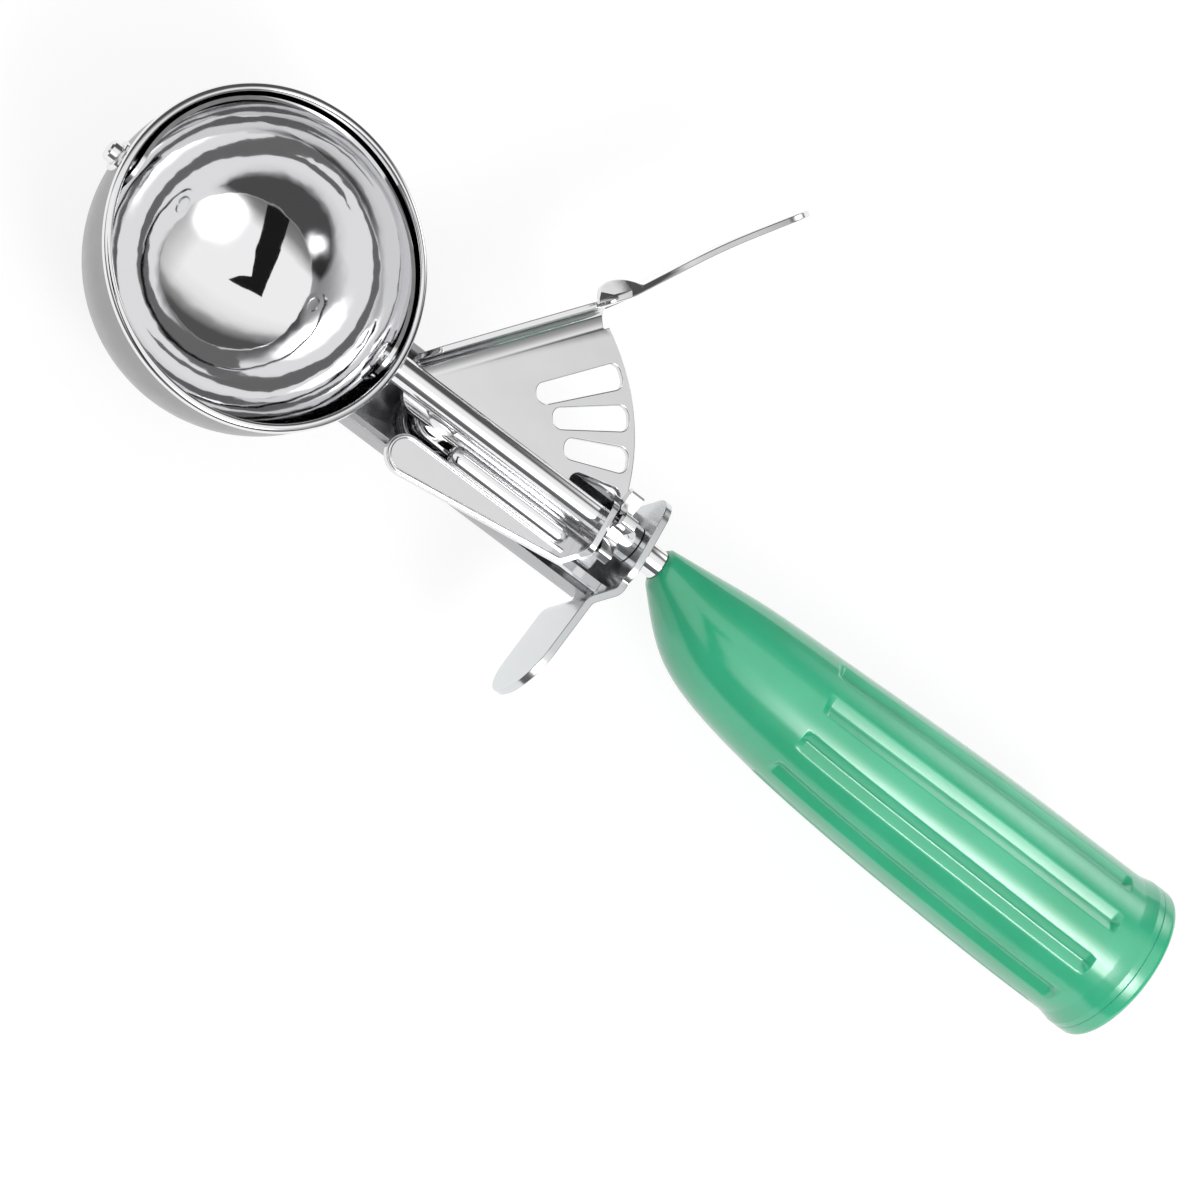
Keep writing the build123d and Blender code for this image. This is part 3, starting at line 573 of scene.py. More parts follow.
def rounded(corners: Sequence[Triple], steps: int = 6) -> list[Point]:
    """A line with its corners rounded.

    Args:
        corners: Two places and a rounding radius for each corner.
        steps: Steps in each rounding.

    Returns:
        The points of the rounded line.
    """
    line: list[Point] = []
    for index, (a, b, radius) in enumerate(corners):
        here = Vector((a, b))
        if radius <= 0 or index in (0, len(corners) - 1):
            line.append((a, b))
            continue
        before = (Vector(corners[index - 1][:2]) - here).normalized()
        after = (Vector(corners[index + 1][:2]) - here).normalized()
        half = before.angle(after) / 2
        reach = radius / math.tan(half)
        middle = here + (before + after).normalized() * (radius / math.sin(half))
        start, end = here + before * reach - middle, here + after * reach - middle
        turn = start.angle_signed(end)
        for step in range(steps + 1):
            spoke = start.copy()
            spoke.rotate(Matrix.Rotation(-turn * step / steps, 2))
            line.append(tuple(middle + spoke))
    return line


def turned(
    name: str,
    profile: Sequence[Point],
    along: Along,
    centre: Vector,
    sides: int,
    hollow: bool = False,
) -> Object:
    """Turns a profile about an axis.

    Args:
        name: The piece's name.
        profile: Place along the axis and radius of each point, from one end to the other.
        along: The axis.
        centre: A point on the axis, from which places along it count.
        sides: Steps round the axis.
        hollow: Whether the profile goes on to its first point, round a bore.

    Returns:
        The closed piece, smoothed.
    """
    angles = np.linspace(0, 2 * math.pi, sides, endpoint=False)
    points, faces, rings = [], [], []
    for place, radius in profile:
        count = 1 if radius < ON_AXIS else sides
        rings.append(list(range(len(points), len(points) + count)))
        for angle in angles[:count]:
            a, b = radius * math.cos(angle), radius * math.sin(angle)
            points.append((place, a, b) if along is Along.X else (a, b, place))
    for low, high in zip(rings, rings[1:] + (rings[:1] if hollow else [])):
        for k in range(sides):
            n = (k + 1) % sides
            corner = [low[k % len(low)], low[n % len(low)], high[n % len(high)], high[k % len(high)]]
            faces.append(list(dict.fromkeys(corner)))
    if not hollow:
        faces += [rings[0], rings[-1]]
    made = mesh_object(name, np.array(points) + np.array(centre), [f for f in faces if len(f) > 2])
    return shade(outward(made))


@dataclass(frozen=True)
class PressedEdge:
    """How the edges of a pressed and tumbled sheet are rounded.

    Where shortest is set, the sheet's own edges under that length are merged first and the rounding keeps
    its full width. Elsewhere it is held to the width that the shortest edge leaves.
    """

    width: float
    steps: int = 2
    shortest: float = 0.0
    sharp_angle: float = 40.0
    flat_angle: float = 0.4
    packed_gap: float = 0.002 * MM
    weld_gap: float = 0.001 * MM

    def copy_of(self, node: str, name: str, form: Former | None = None) -> Object:
        """Copies a packed sheet piece and rounds its edges.

        Args:
            node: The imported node.
            name: The piece's name.
            form: Shapes the sheet before its edges are rounded.

        Returns:
            The rounded piece.
        """
        made = linked(name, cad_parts[node].data.copy())
        with editing(made.data) as work:
            bmesh.ops.remove_doubles(work, verts=work.verts, dist=self.packed_gap)
            if form:
                form(work)
            flat = math.radians(self.flat_angle)
            bmesh.ops.dissolve_limit(work, angle_limit=flat, verts=work.verts, edges=work.edges)
            if self.shortest:
                bmesh.ops.remove_doubles(work, verts=work.verts, dist=self.shortest)
        shade(made)
        bevel = made.modifiers.new("edge", "BEVEL")
        bevel.width = self.width
        bevel.segments = self.steps
        bevel.limit_method = "ANGLE"
        bevel.angle_limit = math.radians(self.sharp_angle)
        bevel.harden_normals = True
        bevel.use_clamp_overlap = not self.shortest
        bevel.miter_outer = "MITER_ARC"
        made.modifiers.new("weld", "WELD").merge_threshold = self.weld_gap
        return baked(made)


def cut_below(made: Object, level: float) -> Object:
    """Cuts away what lies below a level and closes the cut.

    Args:
        made: The closed piece.
        level: The level along Z.

    Returns:
        The same piece.
    """
    with editing(made.data) as work:
        whole = [*work.verts, *work.edges, *work.faces]
        bmesh.ops.bisect_plane(work, geom=whole, plane_co=(0, 0, level), plane_no=(0, 0, 1), clear_inner=True)
        bmesh.ops.holes_fill(work, edges=[e for e in work.edges if e.is_boundary])
    return shade(outward(made))


def dress(made: Object, material: Material, body: Body, slot: Slot, *nodes: str) -> Object:
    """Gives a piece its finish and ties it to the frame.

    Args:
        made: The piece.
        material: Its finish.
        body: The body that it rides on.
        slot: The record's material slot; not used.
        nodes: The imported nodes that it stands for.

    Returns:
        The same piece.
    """
    made.data.materials.clear()
    made.data.materials.append(material)
    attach(made, body.value)
    if nodes:
        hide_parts(*nodes)
    LOG.info("%s rides on %s, %d faces", made.name, body.value, len(made.data.polygons))
    return made


def refinish(material: Material, *nodes: str) -> None:
    """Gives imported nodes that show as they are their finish.

    Args:
        material: The finish.
        nodes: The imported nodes.
    """
    for node in nodes:
        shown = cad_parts[node]
        shown.data.materials.clear()
        shown.data.materials.append(material)
        LOG.info("%s keeps its packed form", node)


# Geometry Nodes

class Recipe:
    """A Geometry Nodes tree with named inputs."""

    def __init__(self, name: str) -> None:
        """Starts a tree that takes geometry in and gives geometry out.

        Args:
            name: The tree's name.
        """
        self.tree = bpy.data.node_groups.new(name, "GeometryNodeTree")
        self.sockets: dict[str, str] = {}
        self.tree.interface.new_socket("Geometry", in_out="OUTPUT", socket_type="NodeSocketGeometry")
        self.input("Geometry", "NodeSocketGeometry")
        self.inlet = self.tree.nodes.new("NodeGroupInput")
        self.outlet = self.tree.nodes.new("NodeGroupOutput")

    def input(self, name: str, kind: str) -> None:
        """Adds a named input of a socket type."""
        socket = self.tree.interface.new_socket(name, in_out="INPUT", socket_type=kind)
        self.sockets[name] = socket.identifier

    def node(self, kind: str, **links: NodeSocket) -> Node:
        """Adds a node.

        Args:
            kind: The node's type.
            links: What feeds each input, by the input's name with _ for a space.

        Returns:
            The node.
        """
        made = self.tree.nodes.new(kind)
        for label, source in links.items():
            self.tree.links.new(source, made.inputs[label.replace("_", " ")])
        return made

    def end(self, geometry: NodeSocket) -> None:
        """Realizes the geometry, gives it the material input and closes the tree.

        Args:
            geometry: What the tree has made.
        """
        self.input("Finish", "NodeSocketMaterial")
        real = self.node("GeometryNodeRealizeInstances", Geometry=geometry)
        finish = self.inlet.outputs["Finish"]
        paint = self.node("GeometryNodeSetMaterial", Geometry=real.outputs[0], Material=finish)
        self.tree.links.new(paint.outputs[0], self.outlet.inputs[0])

    def run(self, made: Object, **values: object) -> Object:
        """Runs the tree on an object.

        Args:
            made: The object that the tree works on.
            values: Values of the named inputs, with _ for a space.

        Returns:
            The plain mesh object that comes out.
        """
        step = made.modifiers.new(self.tree.name, "NODES")
        step.node_group = self.tree
        for label, value in values.items():
            step[self.sockets[label.replace("_", " ")]] = value
        return baked(made)


def wire_recipe() -> Recipe:
    """Builds the recipe of a round wire along a curve, with closed ends.

    Returns:
        The recipe, with Wire Radius, Sides and Finish inputs.
    """
    recipe = Recipe("round_wire")
    recipe.input("Wire Radius", "NodeSocketFloat")
    recipe.input("Sides", "NodeSocketInt")
    given = recipe.inlet.outputs
    ring = recipe.node(
        "GeometryNodeCurvePrimitiveCircle", Resolution=given["Sides"], Radius=given["Wire Radius"]
    )
    wire = recipe.node("GeometryNodeCurveToMesh", Curve=given[0], Profile_Curve=ring.outputs[0])
    wire.inputs["Fill Caps"].default_value = True
    soft = recipe.node("GeometryNodeSetShadeSmooth", Geometry=wire.outputs[0])
    recipe.end(soft.outputs[0])
    return recipe


def path_object(name: str, points: Sequence[Sequence[float]]) -> Object:
    """Makes an open curve through points.

    Args:
        name: The curve's name.
        points: The points, in order.

    Returns:
        The curve object.
    """
    curve = bpy.data.curves.new(name, "CURVE")
    curve.dimensions = "3D"
    line = curve.splines.new("POLY")
    line.points.add(len(points) - 1)
    for knot, place in zip(line.points, points):
        knot.co = (*place, 1.0)
    return linked(name, curve)


# Sub-assemblies

@dataclass
class Bowl:
    """Polished hemispherical bowl with its collar, turned lip and two eyelets."""

    wall: float = 1.1 * MM
    lip_height: float = 1.2 * MM
    lip_outer_round: float = 1.0 * MM
    lip_inner_round: float = 0.45 * MM
    lip_foot_round: float = 0.15 * MM
    eyelet_flange: float = 0.45 * MM
    eyelet_wall: float = 0.5 * MM
    eyelet_round: float = 0.2 * MM
    eyelet_sink: float = 0.985
    eyelet_sides: int = 96
    sides: int = 256
    arc_steps: int = 90

    def __post_init__(self) -> None:
        """Reads the bowl's centre and radii from the frame."""
        low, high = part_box("bowl")
        self.centre = Vector((middle_x("bowl"), 0.0, 0.0))
        self.outer = -low.z
        self.inner = self.outer - self.wall
        self.rim = high.z
        self.lip = (high.x - low.x) / 2

    def shell(self) -> Object:
        """Turns the shell, formed on a spinning lathe, inside and outside.

        Returns:
            The closed shell.
        """
        quarter = np.linspace(0, math.pi / 2, self.arc_steps)
        outside = [(-self.outer * math.cos(a), self.outer * math.sin(a)) for a in quarter]
        inside = [(-self.inner * math.cos(a), self.inner * math.sin(a)) for a in quarter[::-1]]
        foot = self.rim - self.lip_height
        lip = rounded([
            (0.0, self.outer, 0.0),
            (foot, self.outer, 0.0),
            (foot, self.lip, self.lip_foot_round),
            (self.rim, self.lip, self.lip_outer_round),
            (self.rim, self.inner, self.lip_inner_round),
            (0.0, self.inner, 0.0),
        ])
        outside[0], inside[-1] = (-self.outer, 0.0), (-self.inner, 0.0)
        profile = outside + lip[1:-1] + inside
        return turned("bowl_shell", profile, Along.Z, self.centre, self.sides)

    def eyelet(self, node: str, name: str) -> Object:
        """Turns one flanged eyelet.

        Args:
            node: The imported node, whose box gives the sizes.
            name: The piece's name.

        Returns:
            The hollow eyelet.
        """
        low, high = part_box(node)
        side = 1 if low.x > self.centre.x else -1
        face = (high.x if side > 0 else low.x) - self.centre.x
        flange = half_width(node)
        sleeve = flange - self.eyelet_flange
        bore = sleeve - self.eyelet_wall
        seat = side * math.sqrt(self.inner ** 2 - sleeve ** 2)
        shoulder = side * self.outer * self.eyelet_sink
        profile = rounded([
            (seat, bore, 0.0),
            (face, bore, self.eyelet_round),
            (face, flange, self.eyelet_round),
            (shoulder, flange, 0.0),
            (shoulder, sleeve, 0.0),
            (seat, sleeve, 0.0),
        ])
        return turned(name, profile, Along.X, self.centre, self.eyelet_sides, hollow=True)

    def build(self, finishes: Finishes) -> None:
        """Builds and dresses the bowl's pieces.

        Args:
            finishes: The disher's finishes.
        """
        shell = dress(self.shell(), finishes.mirror, Body.FRAME, Slot.POLISHED, "bowl")
        # Faces on the outside below the lip take the spun finish, whose dark colour is painted shade
        shell.data.materials.append(finishes.spun_painted_shade)
        for face in shell.data.polygons:
            away = face.normal.dot(face.center - self.centre)
            face.material_index = int(away > 0 and face.center.z < self.rim - self.lip_height)
        for node, name in (("near_bush", "near_eyelet"), ("far_bush", "far_eyelet")):
            dress(self.eyelet(node, name), finishes.turned, Body.FRAME, Slot.BRIGHT, node)


@dataclass
class Wiper:
    """Blade, shaft, tip pin and star wheel, which turn together."""

    bowl: Bowl
    blade_gap: float = 0.4 * MM
    blade_thickness: float = 0.7 * MM
    blade_width: float = 10.0 * MM
    blade_play: float = 0.1 * MM
    blade_angle: float = 50.0
    rest_angle: float = 5.0
    shaft_radius: float = 2.5 * MM
    tail_radius: float = 1.5 * MM
    spigot_radius: float = 1.4 * MM
    spigot_head: float = 2.6 * MM
    spigot_height: float = 0.8 * MM
    pin_radius: float = 1.85 * MM
    pin_chamfer: float = 0.35 * MM
    edge: float = 0.15 * MM
    shaft_sides: int = 128
    pin_sides: int = 96
    steps_along: int = 160
    steps_across: int = 14

    def blade(self) -> Object:
        """Builds the thin spherical band from pole to pole, with round eyes.

        Returns:
            The closed band.
        """
        outer = self.bowl.inner - self.blade_gap
        half = self.blade_width / 2
        levels = half * np.sin(np.linspace(-math.pi / 2, math.pi / 2, self.steps_across))
        rows = []
        for radius in (outer, outer - self.blade_thickness):
            for level in levels:
                ring = math.sqrt(radius ** 2 - level ** 2)
                eye = math.asin(math.sqrt(max(half ** 2 - level ** 2, 0.0)) / ring)
                turn = np.linspace(math.pi - eye, 2 * math.pi + eye, self.steps_along)
                x, y = ring * np.cos(turn), ring * np.sin(turn)
                rows.append(np.stack([x, y, np.full_like(turn, level)], 1))
        n, m = self.steps_across, self.steps_along
        back = n * m
        front = quads(n, m)
        faces = front + [[back + corner for corner in quad[::-1]] for quad in front]
        border = [*range(m), *range(2 * m - 1, back, m)]
        border += [*range(back - 2, back - m - 1, -1), *range(back - 2 * m, 0, -m)]
        for a, b in zip(border, border[1:] + border[:1]):
            faces.append([a, back + a, back + b, b])
        made = mesh_object("wiper_band", np.concatenate(rows), faces)
        turn = Matrix.Rotation(math.radians(self.rest_angle), 4, "X")
        made.data.transform(Matrix.Translation(self.bowl.centre) @ turn)
        return shade(outward(made), self.blade_angle)

    def shaft(self) -> Object:
        """Turns the round shaft with its tail journal and the riveted blade end.

        Returns:
            The closed shaft.
        """
        low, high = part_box("wiper_shaft")
        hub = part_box("pinion")[0].x
        shoulder = self.bowl.centre.x - self.bowl.inner + self.blade_gap
        seat = shoulder + self.blade_thickness + self.blade_play
        profile = rounded([
            (low.x, 0.0, 0.0),
            (low.x, self.tail_radius, self.edge),
            (hub, self.tail_radius, 0.0),
            (hub, self.shaft_radius, self.edge),
            (shoulder, self.shaft_radius, self.edge),
            (shoulder, self.spigot_radius, 0.0),
            (seat, self.spigot_radius, 0.0),
            (seat, self.spigot_head, 0.0),
            (high.x, self.spigot_head, self.spigot_height / 2),
            (high.x, 0.0, 0.0),
        ])
        return turned("scraper_shaft", profile, Along.X, Vector(), self.shaft_sides)

    def pin(self) -> Object:
        """Turns the pin that stands out of the bowl's far side.

        Returns:
            The closed pin.
        """
        low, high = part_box("tip_pin")
        head = half_width("tip_pin")
        shoulder = self.bowl.centre.x + self.bowl.inner - self.blade_gap
        seat = shoulder - self.blade_thickness - self.blade_play
        profile = rounded([
            (low.x, 0.0, 0.0),
            (low.x, head, self.spigot_height / 2),
            (seat, head, 0.0),
            (seat, self.spigot_radius, 0.0),
            (shoulder, self.spigot_radius, 0.0),
            (shoulder, self.pin_radius, 0.0),
            (high.x - self.pin_chamfer, self.pin_radius, 0.0),
            (high.x, self.pin_radius - self.pin_chamfer, 0.0),
            (high.x, 0.0, 0.0),
        ])
        return turned("far_pin", profile, Along.X, Vector(), self.pin_sides)

    def build(self, finishes: Finishes) -> None:
        """Builds and dresses the turning pieces.

        Args:
            finishes: The disher's finishes.
        """
        dress(self.blade(), finishes.mirror, Body.WIPER, Slot.BRIGHT, "wiper_blade")
        dress(self.shaft(), finishes.turned, Body.WIPER, Slot.POLISHED, "wiper_shaft")
        dress(self.pin(), finishes.turned, Body.WIPER, Slot.POLISHED, "tip_pin")
        star = PressedEdge(self.edge).copy_of("pinion", "star_wheel")
        dress(star, finishes.turned, Body.WIPER, Slot.BRIGHT, "pinion")
        refinish(finishes.turned, "cross_pin", "thrust_washer")


@dataclass
class Lever:
    """Pressed thumb lever with its slotted sector and the drooping lip at the root of its thumb plate."""

    edge: PressedEdge = PressedEdge(0.25 * MM, steps=3, shortest=0.2 * MM)
    flange_angle: float = 50.4
    flange_offset: float = 11.4 * MM
    lip_start: float = 28.0 * MM
    lip_end: float = 38.9 * MM
    lip_droop: float = 1.0
    crease_gap: float = 0.001 * MM

    def droop(self, work: bmesh.types.BMesh) -> None:
        """Bends the lip down from the thumb plate's front edge.

        Args:
            work: The lever's sheet, open for editing.
        """
        turn = math.radians(self.flange_angle)
        along = Vector((-math.cos(turn), -math.sin(turn), 0.0))
        out = Vector((math.sin(turn), -math.cos(turn), 0.0))
        pivot = Vector((middle_x("pivot_rivet"), 0.0, 0.0))

        def at_lip(place: Vector) -> bool:
            """Whether a place lies in the lip's stretch of the flange."""
            return self.lip_start < (place - pivot).dot(along) < self.lip_end

        near = [f for f in work.faces if at_lip(f.calc_center_median())]
        edges = {e for f in near for e in f.edges}
        points = {v for f in near for v in f.verts}
        crease = pivot + out * self.flange_offset
        whole = [*points, *edges, *near]
        bmesh.ops.bisect_plane(work, geom=whole, plane_co=crease, plane_no=out, dist=self.crease_gap)
        for point in work.verts:
            reach = (point.co - crease).dot(out)
            if reach > 0 and at_lip(point.co):
                point.co.z -= self.lip_droop * reach

    def build(self, finishes: Finishes) -> None:
        """Builds and dresses the lever."""
        plate = self.edge.copy_of("thumb_lever", "slotted_lever", self.droop)
        dress(plate, finishes.pressed, Body.LEVER, Slot.BRIGHT, "thumb_lever")


@dataclass
class Pivot:
    """Rivet, spacers and the wound return spring."""

    wire_radius: float = 0.5 * MM
    mean_radius: float = 4.6 * MM
    turns: int = 3
    leg_length: float = 8.0 * MM
    bend_radius: float = 1.2 * MM
    lever_leg_angle: float = 25.0
    end_gap: float = 0.25 * MM
    head_thickness: float = 0.7 * MM
    rivet_radius: float = 2.0 * MM
    rivet_sides: int = 96
    dome_steps: int = 14
    steps_per_turn: int = 48
    bend_steps: int = 8
    wire_sides: int = 16

    def __post_init__(self) -> None:
        """Reads the pivot's place and the levels of the sheets beside it."""
        low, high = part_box("pivot_rivet")
        self.centre = Vector((middle_x("pivot_rivet"), 0.0, 0.0))
        self.bottom, self.top = low.z, high.z
        self.head_radius = (high.x - low.x) / 2
        self.web_back, self.lever_top = (corner.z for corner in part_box("return_spring"))
        self.web_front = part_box("spring_sleeve")[0].z
        self.lever_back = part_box("thumb_lever")[0].z

    def rivet(self) -> Object:
        """Turns the rivet, with a domed head at each end.

        Returns:
            The closed rivet.
        """
        upper, lower = self.top - self.head_thickness, self.bottom + self.head_thickness
        dome = self.dome()
        profile = [(self.bottom + drop, radius) for drop, radius in dome]
        profile += [(lower, self.rivet_radius), (upper, self.rivet_radius)]
        profile += [(self.top - drop, radius) for drop, radius in reversed(dome)]
        return turned("pivot_pin", profile, Along.Z, self.centre, self.rivet_sides)

    def dome(self) -> list[Point]:
        """Works out the rings of a rivet head.

        Returns:
            Drop below the crown and radius of each ring, from crown to edge.
        """
        ball = (self.head_radius ** 2 + self.head_thickness ** 2) / (2 * self.head_thickness)
        full = math.asin(self.head_radius / ball)
        turns = [full * step / self.dome_steps for step in range(self.dome_steps + 1)]
        return [(ball * (1 - math.cos(turn)), ball * math.sin(turn)) for turn in turns]

    def spring_path(self) -> list[Vector]:
        """Works out the spring's centre line.

        Returns:
            Its points, from the hook in the shank to the hook in the lever.
        """
        low = self.web_front + self.end_gap + self.wire_radius
        high = self.lever_back - self.end_gap - self.wire_radius
        lever_leg = math.radians(self.lever_leg_angle)
        sweep = 2 * math.pi * (self.turns - 1) + math.pi + lever_leg
        count = int(self.steps_per_turn * sweep / (2 * math.pi))
        coil = []
        for step in range(count + 1):
            angle = math.pi / 2 + sweep * step / count
            level = low + (high - low) * step / count
            x, y = self.mean_radius * math.cos(angle), self.mean_radius * math.sin(angle)
            coil.append(Vector((x, y, level)))
        first = self.leg(coil[0], Vector((1.0, 0.0, 0.0)), -1, self.web_back)
        last = self.leg(coil[-1], Vector((math.cos(lever_leg), math.sin(lever_leg), 0.0)), 1, self.lever_top)
        turn = Matrix.Translation(self.centre) @ Matrix.Rotation(math.pi, 4, "Z")
        return [turn @ place for place in first[::-1] + coil + last]

    def leg(self, foot: Vector, heading: Vector, rise: int, end: float) -> list[Vector]:
        """A straight leg of the spring with a square bend to its hook.

        Args:
            foot: Where the leg leaves the coil.
            heading: The way that it runs.
            rise: 1 for a hook that goes up, -1 for one that goes down.
            end: Level of the hook's end.

        Returns:
            The leg's centre line from the bend on.
        """
        line = []
        corner = foot + heading * self.leg_length
        for step in range(self.bend_steps + 1):
            angle = math.pi / 2 * step / self.bend_steps
            along = self.bend_radius * math.sin(angle)
            up = rise * self.bend_radius * (1 - math.cos(angle))
            line.append(corner + heading * along + Vector((0.0, 0.0, up)))
        line.append(Vector((line[-1].x, line[-1].y, end)))
        return line

    def build(self, finishes: Finishes) -> None:
        """Builds and dresses the pivot's pieces.

        Args:
            finishes: The disher's finishes.
        """
        dress(self.rivet(), finishes.turned, Body.FRAME, Slot.BRIGHT, "pivot_rivet")
        path = path_object("coil_spring", self.spring_path())
        size = {"Wire_Radius": self.wire_radius, "Sides": self.wire_sides}
        spring = wire_recipe().run(path, **size, Finish=finishes.wire)
        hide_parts("return_spring")
        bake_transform(spring)
        LOG.info("%s bends between frame and lever", spring.name)
        refinish(finishes.turned, "pivot_washer", "spring_sleeve")


@dataclass
class Stem:
    """Shank, front plate, guard and ferrule."""

    edge: float = 0.2 * MM
    guard_edge: float = 0.3 * MM
    fine_steps: int = 3
    ferrule_wall: float = 0.5 * MM
    ferrule_sides: int = 96
    sheet: float = 1.2 * MM
    wall_gap: float = 0.5 * MM
    rib_radius: float = 2.2 * MM
    rib_rise: float = 1.2 * MM
    rib_side: float = 4.7 * MM
    rib_pivot_gap: float = 3.6 * MM
    rib_wall_gap: float = 1.2 * MM
    rib_sides: int = 64
    rib_steps: int = 16
    leaf_tip: float = 6.4 * MM
    leaf_inner: float = 6.6 * MM
    leaf_width: float = 7.8 * MM
    leaf_round: float = 3.6 * MM
    leaf_root: float = 9.12 * MM
    bead_radius: float = 0.38 * MM
    bead_inset: float = 0.5 * MM
    bead_sides: int = 12
    bead_steps: int = 12

    def __post_init__(self) -> None:
        """Reads the front plate's levels and ends from the frame."""
        self.pivot_x = middle_x("pivot_rivet")
        self.wall_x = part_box("pinion")[1].x + self.wall_gap + self.sheet
        self.plate_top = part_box("front_plate")[0].z + self.sheet

    def rib(self) -> Object:
        """Builds the half-round stiffening rib on the front plate, beside the shaft.

        Returns:
            The closed rib.
        """
        start, end = self.wall_x + self.rib_wall_gap, self.pivot_x - self.rib_pivot_gap
        quarter = np.linspace(0, math.pi / 2, self.rib_steps)
        size = self.rib_radius
        profile = [(start + size * (1 - math.cos(a)), size * math.sin(a)) for a in quarter]
        profile += [(end - size * (1 - math.cos(a)), size * math.sin(a)) for a in quarter[::-1]]
        centre = Vector((0.0, self.rib_side, self.plate_top + self.rib_rise - size))
        whole = turned("plate_rib", profile, Along.X, centre, self.rib_sides)
        return cut_below(whole, self.plate_top - self.sheet / 2)

    def bead(self) -> Object:
        """Draws the raised border round the front plate's leaf.

        Returns:
            The border's centre line.
        """
        inset, size = self.bead_inset, self.leaf_round - self.bead_inset
        root, tip = self.wall_x + self.rib_wall_gap, self.pivot_x + self.leaf_tip - inset
        line = rounded([
            (root, self.leaf_inner + inset, 0.0),
            (tip, self.leaf_inner + inset, size),
            (tip, self.leaf_inner + self.leaf_width - inset, size),
            (root, self.leaf_root - inset, 0.0),
        ], self.bead_steps)
        return path_object("leaf_bead", [(x, y, self.plate_top) for x, y in line])

    def ferrule(self) -> Object:
        """Turns the short polished tube between handle and guard.

        Returns:
            The hollow tube.
        """
        low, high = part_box("ferrule")
        outer = half_width("ferrule")
        inner = outer - self.ferrule_wall
        profile = rounded([
            (low.x, inner, 0.0),
            (low.x, outer, self.edge),
            (high.x, outer, self.edge),
            (high.x, inner, 0.0),
        ])
        return turned("bright_ferrule", profile, Along.X, Vector(), self.ferrule_sides, hollow=True)

    def build(self, finishes: Finishes) -> None:
        """Builds and dresses the fixed stem.

        Args:
            finishes: The disher's finishes.
        """
        # The shank takes the steel whose dark colour is painted shade
        shank = PressedEdge(self.edge).copy_of("shank", "shank_channel")
        dress(shank, finishes.rough_painted_shade, Body.FRAME, Slot.BRIGHT, "shank")
        plate = PressedEdge(self.edge, self.fine_steps).copy_of("front_plate", "forked_plate")
        dress(plate, finishes.pressed, Body.FRAME, Slot.BRIGHT, "front_plate")
        dress(self.rib(), finishes.turned, Body.FRAME, Slot.BRIGHT)
        size = {"Wire_Radius": self.bead_radius, "Sides": self.bead_sides}
        bead = wire_recipe().run(self.bead(), **size, Finish=finishes.turned)
        dress(bead, finishes.turned, Body.FRAME, Slot.BRIGHT)
        guard = PressedEdge(self.guard_edge, self.fine_steps).copy_of("guard", "finger_guard")
        dress(guard, finishes.satin, Body.FRAME, Slot.BRIGHT, "guard")
        dress(self.ferrule(), finishes.mirror, Body.FRAME, Slot.POLISHED, "ferrule")


def cubic(knots: np.ndarray, values: np.ndarray) -> Callable[[float], float]:
    """Natural cubic spline through evenly spaced knots.

    Args:
        knots: Places of the knots.
        values: Values at the knots.

    Returns:
        The spline as a function of place.
    """
    n, step = len(knots), knots[1] - knots[0]
    system = np.eye(n)
    right = np.zeros(n)
    for i in range(1, n - 1):
        system[i, i - 1:i + 2] = (1.0, 4.0, 1.0)
        right[i] = 6 * (values[i - 1] - 2 * values[i] + values[i + 1]) / step ** 2
    bend = np.linalg.solve(system, right)

    def value(x: float) -> float:
        """Gives the spline's value.

        Args:
            x: The place.

        Returns:
            The value there.
        """
        i = int(min(max((x - knots[0]) / step, 0), n - 2))
        a, b = knots[i + 1] - x, x - knots[i]
        curve = (bend[i] * a ** 3 + bend[i + 1] * b ** 3) / (6 * step)
        low = values[i] / step - bend[i] * step / 6
        high = values[i + 1] / step - bend[i + 1] * step / 6
        return curve + low * a + high * b

    return value


